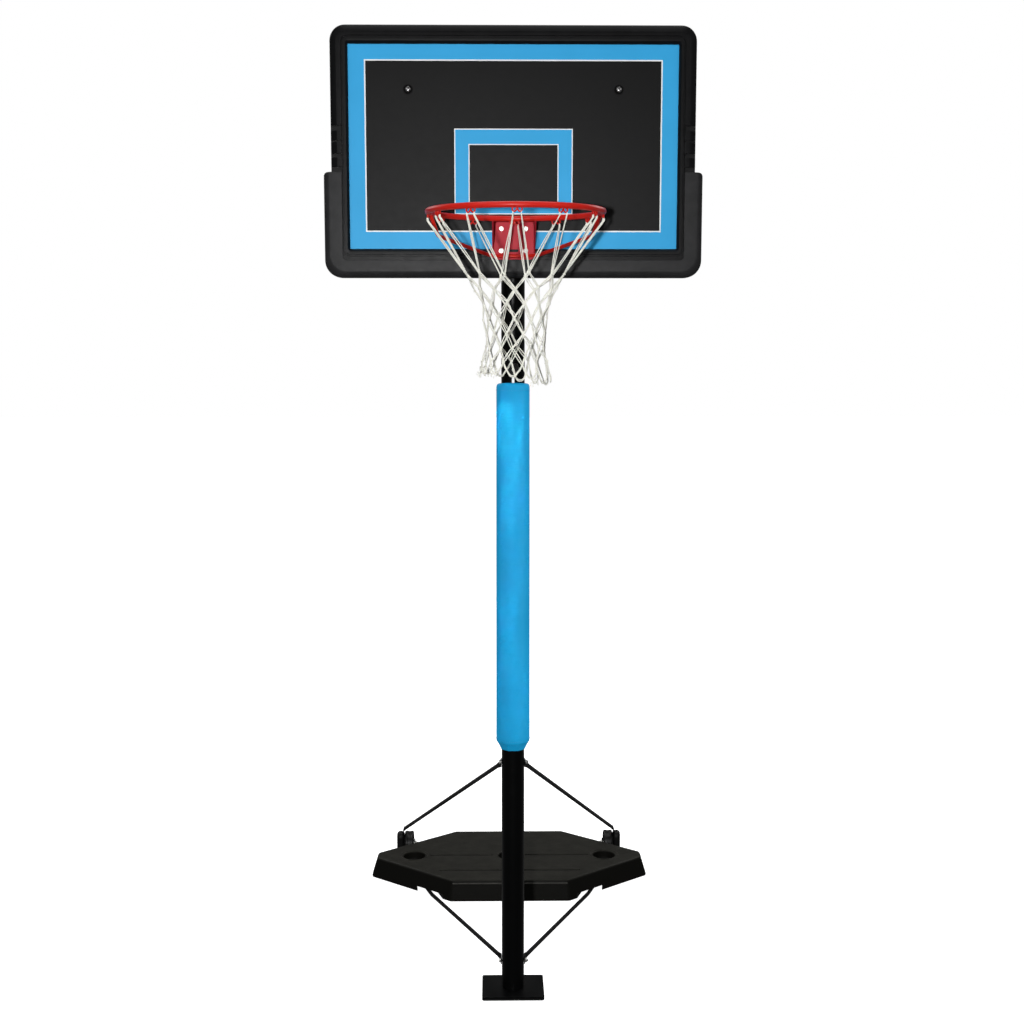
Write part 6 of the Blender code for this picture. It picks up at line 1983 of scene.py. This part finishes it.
@dataclass
class Strut:
    """A round tube whose ends are pressed into flat rounded lugs."""

    name: str
    path: list[Vector]
    first_normal: Vector
    last_normal: Vector
    radius: float = 0.007
    lug_half: float = 0.012
    lug_thick: float = 0.0018
    lug_end: float = 0.0125
    press: float = 0.030
    bend: float = 0.030
    around: int = 28
    fine_run: float = 0.11
    fine_step: float = 0.004
    squareness: float = 0.32
    lug_roundness: float = 0.86

    def centre_line(self) -> tuple[Path, list[float]]:
        """The eased path with both lug ends, and the distance run at each point."""
        first_way = (self.path[1] - self.path[0]).normalized()
        last_way = (self.path[-1] - self.path[-2]).normalized()
        corners = [self.path[0] - first_way * self.lug_end, *self.path[1:-1],
                   self.path[-1] + last_way * self.lug_end]
        rough = eased(corners, self.bend, 8)
        whole = sum((after - before).length for before, after in zip(rough, rough[1:]))
        line, run = [rough[0]], [0.0]
        for before, after in zip(rough, rough[1:]):
            span = (after - before).length
            if span < 1e-6:
                continue
            near_end = min(run[-1], whole - run[-1]) < self.fine_run
            parts = max(1, min(40, int(span / self.fine_step))) if near_end else 1
            for part in range(1, parts + 1):
                line.append(before.lerp(after, part / parts))
                run.append(run[-1] + span / parts)
        return line, run

    def section(self, centre: Vector, way: Vector, side: Vector, flat: float,
                inset: float) -> list[Vector]:
        """One section between round and flat.

        Args:
            centre: Its middle.
            way: The strut's direction there.
            side: The direction of the flat's width.
            flat: 0 for round and 1 for flat.
            inset: How far the lug's rounded end draws the width in.

        Returns:
            The section's points.
        """
        u = (side - way * side.dot(way)).normalized()
        w = way.cross(u)
        wide = self.lug_half - inset
        ring = []
        for angle in full_turn(self.around):
            c, s = math.cos(angle), math.sin(angle)
            flat_x = wide * math.copysign(abs(c) ** self.squareness, c)
            flat_y = self.lug_thick * math.copysign(abs(s) ** self.squareness, s)
            x = self.radius * c * (1 - flat) + flat_x * flat
            y = self.radius * s * (1 - flat) + flat_y * flat
            ring.append(centre + u * x + w * y)
        return ring

    def mesh(self) -> bpy.types.Mesh:
        """The strut's skin."""
        line, run = self.centre_line()
        total = run[-1]
        first_run = (self.path[1] - self.path[0]).length + self.lug_end
        last_run = (self.path[-1] - self.path[-2]).length + self.lug_end
        first_side = self.first_normal.cross((self.path[1] - self.path[0]).normalized())
        last_side = self.last_normal.cross((self.path[-1] - self.path[-2]).normalized())
        if first_side.dot(last_side) < 0 and abs(first_side.dot(last_side)) > 0.2:
            last_side = -last_side
        rings = []
        for index, centre in enumerate(line):
            before, after = line[max(index - 1, 0)], line[min(index + 1, len(line) - 1)]
            way = (after - before).normalized()
            start, end = run[index], total - run[index]
            first_flat = 1 - self.eased_step((start - first_run) / self.press)
            last_flat = 1 - self.eased_step((end - last_run) / self.press)
            near = min(start, end)
            inset = 0.0
            if near < self.lug_half:
                reach = self.lug_half - near
                inset = self.lug_half - math.sqrt(max(self.lug_half ** 2 - reach ** 2, 0.0))
                inset = min(inset, self.lug_half * self.lug_roundness)
            share = self.eased_step((start - first_run - self.press)
                                    / max(0.01, total - first_run - last_run - 2 * self.press))
            side = first_side.lerp(last_side, share).normalized()
            rings.append(self.section(centre, way, side, max(first_flat, last_flat), inset))
        return skinned(self.name, rings)

    @staticmethod
    def eased_step(value: float) -> float:
        """A smooth step from 0 to 1."""
        held = min(1.0, max(0.0, value))
        return held * held * (3 - 2 * held)

    def build(self) -> None:
        """The strut in place of its CAD node."""
        put(f"{self.name}_tube", self.mesh(), BLACK_STEEL, STAND, [self.name], 50)


@dataclass
class StrutSet:
    """The four struts between the pole and the base."""

    pole_x: float = POLE_LUG_X
    well: Vector = field(default_factory=lambda: v3(*WELL, 0.0151))
    axle: Vector = field(default_factory=lambda: v3(0.4278, *AXLE))
    lug_run: float = 0.0264
    run_z: float = 0.0129
    edge_clear: float = 0.0175
    well_slope: float = 0.0322
    elbow: tuple[float, float, float] = (0, -0.0144, 0.062)
    tank: BaseTank = field(default_factory=BaseTank)

    def edge_distance(self) -> float:
        """How far from a base bolt, along its strut in plan, the tank's bottom edge lies."""
        edge_x, edge_y, tip_x = self.tank.bottom
        start = Vector((self.well.x, self.well.y - self.tank.middle_y))
        way = Vector((self.pole_x - self.well.x, -self.well.y)).normalized()
        first = Vector((edge_x, -edge_y))
        along = Vector((tip_x, -self.tank.tip_half)) - first
        return (first - start).cross(along) / way.cross(along)

    def build(self) -> None:
        """Both sides' struts."""
        for side, label in SIDES:
            low_bolt = v3(side * self.pole_x, 0, POLE_BOLT_Z[1])
            well = v3(side * self.well.x, self.well.y, self.well.z)
            plan = v3(low_bolt.x - well.x, low_bolt.y - well.y, 0).normalized()
            bend = well + plan * (self.edge_distance() + self.edge_clear)
            bend.z = self.run_z
            near = well + plan * self.lug_run
            last = near + plan * self.well_slope
            last.z = self.run_z
            Strut(f"{label}_lower_strut",
                  [low_bolt, low_bolt + v3(0, self.lug_run, 0), bend, last, near, well],
                  v3(side, 0, 0), WORLD_UP).build()
            top_bolt = v3(side * self.pole_x, 0, POLE_BOLT_Z[0])
            axle = v3(side * self.axle.x, self.axle.y, self.axle.z)
            elbow = axle + v3(*self.elbow)
            slope = (elbow - top_bolt).normalized()
            way = v3(0, slope.y, slope.z).normalized()
            Strut(f"{label}_upper_strut", [top_bolt, top_bolt + way * self.lug_run, elbow, axle],
                  v3(side, 0, 0), v3(side, 0, 0)).build()


# Plates, brackets and fasteners


@dataclass
class Steelwork:
    """Plates and brackets, whose cut edges are eased."""

    plates: tuple[tuple[str, str, float], ...] = (
        ("foot_plate", STAND, 0.0008), ("left_wheel_bracket", STAND, 0.0005),
        ("right_wheel_bracket", STAND, 0.0005), ("board_bracket", MAST, 0.0007),
        ("left_board_brace", MAST, 0.0004), ("right_board_brace", MAST, 0.0004))

    def build(self) -> None:
        """Every plate, the foot's rubber and the water in the base."""
        for node, body, edge in self.plates:
            put(f"{node}_eased", eased_copy(node, edge), BLACK_STEEL, body, [node], 40)
        put("foot_pad_moulding", eased_copy("foot_pad", 0.0012, 3), RUBBER, STAND, ["foot_pad"], 40)
        water = frame["nodes"]["ballast_water"]
        for slot in water.material_slots:
            slot.material = WATER.material()


@dataclass
class Fasteners:
    """Every bolt and nut, put on points by one tree."""

    bolt_r: float = 0.004
    corner_r: float = 0.0066
    flange_r: float = 0.0072
    dome_r: float = 0.0088
    dome_rise: float = 0.0042
    head: float = 0.005
    nut: float = 0.0062
    tip: float = 0.003
    around: int = 48
    rim_x: float = 0.036
    rim_z: tuple[float, float] = (2.428, 2.364)
    rim_grip: tuple[float, float] = (-0.1146, 0.0152)
    board_grip: tuple[float, float] = (-0.1103, 0.0105)
    cross_grips: tuple[tuple[float, float], ...] = ((2.495, 0.03655), (2.70, 0.04045))
    pole_seat: float = 0.0402
    base_grip: tuple[float, float] = (0.0503, 0.0373)
    axle_grip: tuple[float, float] = (0.4299, 0.0492)
    spots: dict[str, dict[Fixing, list[tuple[Vector, Vector, float]]]] = field(
        default_factory=lambda: {STAND: {}, MAST: {}})

    def hex_ring(self, radius: float, z: float, hexed: float = 1.0) -> list[Vector]:
        """A ring between a circle and a hexagon of this corner radius."""
        ring = []
        for angle in full_turn(self.around):
            off = angle % (math.pi / 3) - math.pi / 6
            flat = radius * math.cos(math.pi / 6) / math.cos(off)
            reach = radius * (1 - hexed) + flat * hexed
            ring.append(polar(reach, angle, z))
        return ring

    def round_rings(self, *rings: tuple[float, float]) -> list[list[Vector]]:
        """Round rings, each given by its radius and height."""
        return [self.hex_ring(radius, z, 0) for radius, z in rings]

    def flanged(self, high: float, chamfer: float) -> list[list[Vector]]:
        """The flange and the hexagon on it, up to where its top edge is cut back."""
        wide, r = self.flange_r, self.corner_r
        return self.round_rings((wide - 0.0001, 0.0), (wide, 0.0004), (wide - 0.0001, 0.0009)) + [
            self.hex_ring(r, 0.0010), self.hex_ring(r, high - chamfer),
            self.hex_ring(r * 0.97, high - chamfer + 0.0004, 0.85)]

    def shape(self, kind: Fixing) -> bpy.types.Mesh:
        """The mesh of one shape, standing up from its seat along Z."""
        r, bolt, high = self.corner_r, self.bolt_r, self.head
        if kind is Fixing.HEX_HEAD:
            return skinned("head", self.flanged(high, 0.0010) + self.round_rings(
                (r * 0.82, high), (r * 0.55, high), (r * 0.50, high - 0.0003)))
        if kind is Fixing.DOME_HEAD:
            turns = [math.pi / 2 * step / 8 for step in range(8)]
            return skinned("dome", self.round_rings((self.dome_r * 0.99, 0.0), *(
                (self.dome_r * math.cos(turn), 0.0007 + self.dome_rise * math.sin(turn))
                for turn in turns)))
        if kind is Fixing.NUT:
            high = self.nut
            rings = self.flanged(high, 0.0009) + self.round_rings(
                (r * 0.84, high), (bolt * 1.12, high), (bolt * 0.98, high - 0.0004))
            for z in (high, high + 0.0009, high + 0.0018):
                rings += self.round_rings((bolt * 0.86, z), (bolt, z + 0.00045))
            return skinned("nut", rings + self.round_rings((bolt * 0.8, high + self.tip)))
        return skinned("shank", self.round_rings((bolt * 0.98, 0.0), (bolt * 0.98, 1.0)))

    def bolt(self, body: str, seat: Vector, way: Vector, grip: float,
             head: Fixing = Fixing.HEX_HEAD) -> None:
        """Notes one bolt with its nut.

        Args:
            body: The body that it is on.
            seat: The point under its head.
            way: The direction from the head to the nut.
            grip: The distance from under the head to the nut's seat.
            head: The head's shape.
        """
        kinds = self.spots[body]
        kinds.setdefault(head, []).append((seat, -way, 1.0))
        kinds.setdefault(Fixing.NUT, []).append((seat + way * grip, way, 1.0))
        kinds.setdefault(Fixing.SHANK, []).append((seat, way, grip))

    def note_all(self) -> list[str]:
        """Notes every bolt and returns the CAD nodes that they stand for."""
        x, y = v3(1, 0, 0), v3(0, 1, 0)
        seat, grip = self.rim_grip
        for side, _ in SIDES:
            for bolt_z in self.rim_z:
                self.bolt(MAST, v3(side * self.rim_x, seat, bolt_z), y, grip)
        seat, grip = self.board_grip
        for side, _ in SIDES:
            self.bolt(MAST, v3(side * BOARD_BOLT[0], seat, BOARD_BOLT[1]), y, grip,
                      Fixing.DOME_HEAD)
        for bolt_z, seat in self.cross_grips:
            self.bolt(MAST, v3(-seat, 0, bolt_z), x, 2 * seat)
        for bolt_z in POLE_BOLT_Z:
            self.bolt(STAND, v3(-self.pole_seat, 0, bolt_z), x, 2 * self.pole_seat)
        for side, _ in SIDES:
            seat, grip = self.base_grip
            self.bolt(STAND, v3(side * WELL[0], WELL[1], seat), -WORLD_UP, grip)
            seat, grip = self.axle_grip
            self.bolt(STAND, v3(side * seat, *AXLE), -x * side, grip)
        nodes = [f"rim_bolt_{number}" for number in (1, 2, 3, 4)]
        for label in ("lower_bracket", "upper_bracket", "left_board", "right_board", "lower_strut",
                      "upper_strut", "left_base", "right_base", "left_axle", "right_axle"):
            nodes += [f"{label}_bolt", f"{label}_nut"]
        return nodes

    def build(self) -> None:
        """All fasteners, as one piece on each body."""
        nodes = self.note_all()
        for body, kinds in self.spots.items():
            parts = []
            for kind, places in kinds.items():
                part = fixed_on(kind, self.shape(kind), places, ZINC)
                if kind is Fixing.DOME_HEAD:
                    put(f"dome_heads_{body}", part, BLACK_ZINC, body, angle=28)
                else:
                    parts.append(part)
            mine = [n for n in nodes if frame["nodes"][n]["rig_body"] == body]
            put(f"fasteners_{body}", joined("fasteners", parts), ZINC, body, mine, 28)


# Studio


@dataclass(frozen=True)
class Lamp:
    """A square light that points at the object."""

    name: str
    place: tuple[float, float, float]
    size: float
    power: float
    target: tuple[float, float, float] = (0.0, 0.0, 1.6)
    only: str = ""


@dataclass
class Studio:
    """The floor, the lights and the camera."""

    distance: float = 4.396
    azimuth: float = -0.8
    side_step: float = -0.003
    eye_z: float = 2.135
    pitch: float = 82.65
    lens: float = 50.0
    sensor: float = 36.0
    surround_front: float = 0.08
    surround_back: float = 0.16
    lamps: tuple[Lamp, ...] = (
        Lamp("flash", (-0.30, -4.42, 2.16), 0.10, 125.0, (0.0, 0.0, 1.8)),
        Lamp("soft_front_left", (-3.4, -4.4, 4.8), 2.6, 44.0),
        Lamp("soft_front_right", (3.8, -3.8, 4.4), 2.6, 34.0),
        Lamp("soft_top", (0.0, 0.6, 6.2), 3.0, 90.0, (0.0, 0.6, 0.0)),
        Lamp("soft_back_left", (-3.6, 4.6, 5.0), 2.6, 130.0),
        Lamp("soft_back_right", (3.6, 4.6, 5.0), 2.6, 130.0),
        Lamp("pad_fill_left", (-4.4, -2.4, 1.4), 2.2, 135.0, (0.0, 0.0, 1.4), "pole_pad_cover"),
        Lamp("pad_fill_right", (4.4, -2.4, 1.4), 2.2, 215.0, (0.0, 0.0, 1.4), "pole_pad_cover"),
    )

    def build_floor(self) -> None:
        """A plain pale floor."""
        floor = linked("studio_floor", boxed("floor", (-30, -30, -0.02), (30, 30, 0.0)))
        material = bpy.data.materials.new("studio_floor_paint")
        graph = shader_graph(material)
        shader = graph.add("ShaderNodeBsdfPrincipled", inputs={
            "Base Color": grey(0.8), "Roughness": 0.9, "Specular IOR Level": 0.1,
            "Emission Color": grey(1.0), "Emission Strength": 1.0})
        graph.add("ShaderNodeOutputMaterial", inputs={"Surface": shader})
        floor.data.materials.append(material)
        floor.visible_diffuse = floor.visible_glossy = False

    def build_world(self) -> None:
        """White to the camera; for light and reflections dim in front and paler behind."""
        world = bpy.data.worlds.new("studio")
        graph = shader_graph(world)
        seen = graph.add("ShaderNodeBackground", inputs={"Color": grey(1.0), "Strength": 1.0})
        way = graph.axes(graph.add("ShaderNodeTexCoord", out="Generated")).other("Y")
        strength = way.over(-0.3, 0.8) * (self.surround_back - self.surround_front) \
            + self.surround_front
        felt = graph.add("ShaderNodeBackground", inputs={"Color": grey(1.0), "Strength": strength})
        camera_ray = graph.add("ShaderNodeLightPath", out="Is Camera Ray")
        both = graph.add("ShaderNodeMixShader", inputs={0: camera_ray, 1: felt, 2: seen})
        graph.add("ShaderNodeOutputWorld", inputs={"Surface": both})
        bpy.context.scene.world = world

    def build_lamp(self, lamp: Lamp) -> None:
        """One light."""
        data = bpy.data.lights.new(lamp.name, "AREA")
        data.shape, data.size, data.energy = "SQUARE", lamp.size, lamp.power
        light = linked(lamp.name, data)
        light.location = lamp.place
        way = Vector(lamp.target) - Vector(lamp.place)
        light.rotation_euler = way.to_track_quat("-Z", "Y").to_euler()
        if lamp.only:
            lit = bpy.data.collections.new(f"{lamp.name}_lights")
            lit.objects.link(bpy.data.objects[lamp.only])
            light.light_linking.receiver_collection = lit

    def build_camera(self) -> None:
        """The camera at the photograph's place and angle."""
        data = bpy.data.cameras.new("photo_camera")
        data.lens, data.sensor_width = self.lens, self.sensor
        camera = linked("photo_camera", data)
        turn = math.radians(self.azimuth)
        camera.location = (self.side_step + self.distance * math.sin(turn),
                           -self.distance * math.cos(turn), self.eye_z)
        camera.rotation_euler = (math.radians(self.pitch), 0, turn)
        bpy.context.scene.camera = camera

    def build(self) -> None:
        """Everything round the object."""
        bpy.context.scene.view_settings.view_transform = "Standard"
        self.build_floor()
        self.build_world()
        for lamp in self.lamps:
            self.build_lamp(lamp)
        self.build_camera()


def main() -> None:
    """Builds every sub-assembly in order."""
    logging.basicConfig(level=logging.INFO, format="%(name)s: %(message)s")
    assemblies = [Backboard(), Rim(), Net(), Pole(), PolePad(), HeightLock(), BaseTank(), Filler(),
                  Wheel(-1), Wheel(1), StrutSet(), Steelwork(), Fasteners(), Studio()]
    for assembly in assemblies:
        assembly.build()
        LOG.info("built %s", type(assembly).__name__)


if __name__ == "__main__":
    main()
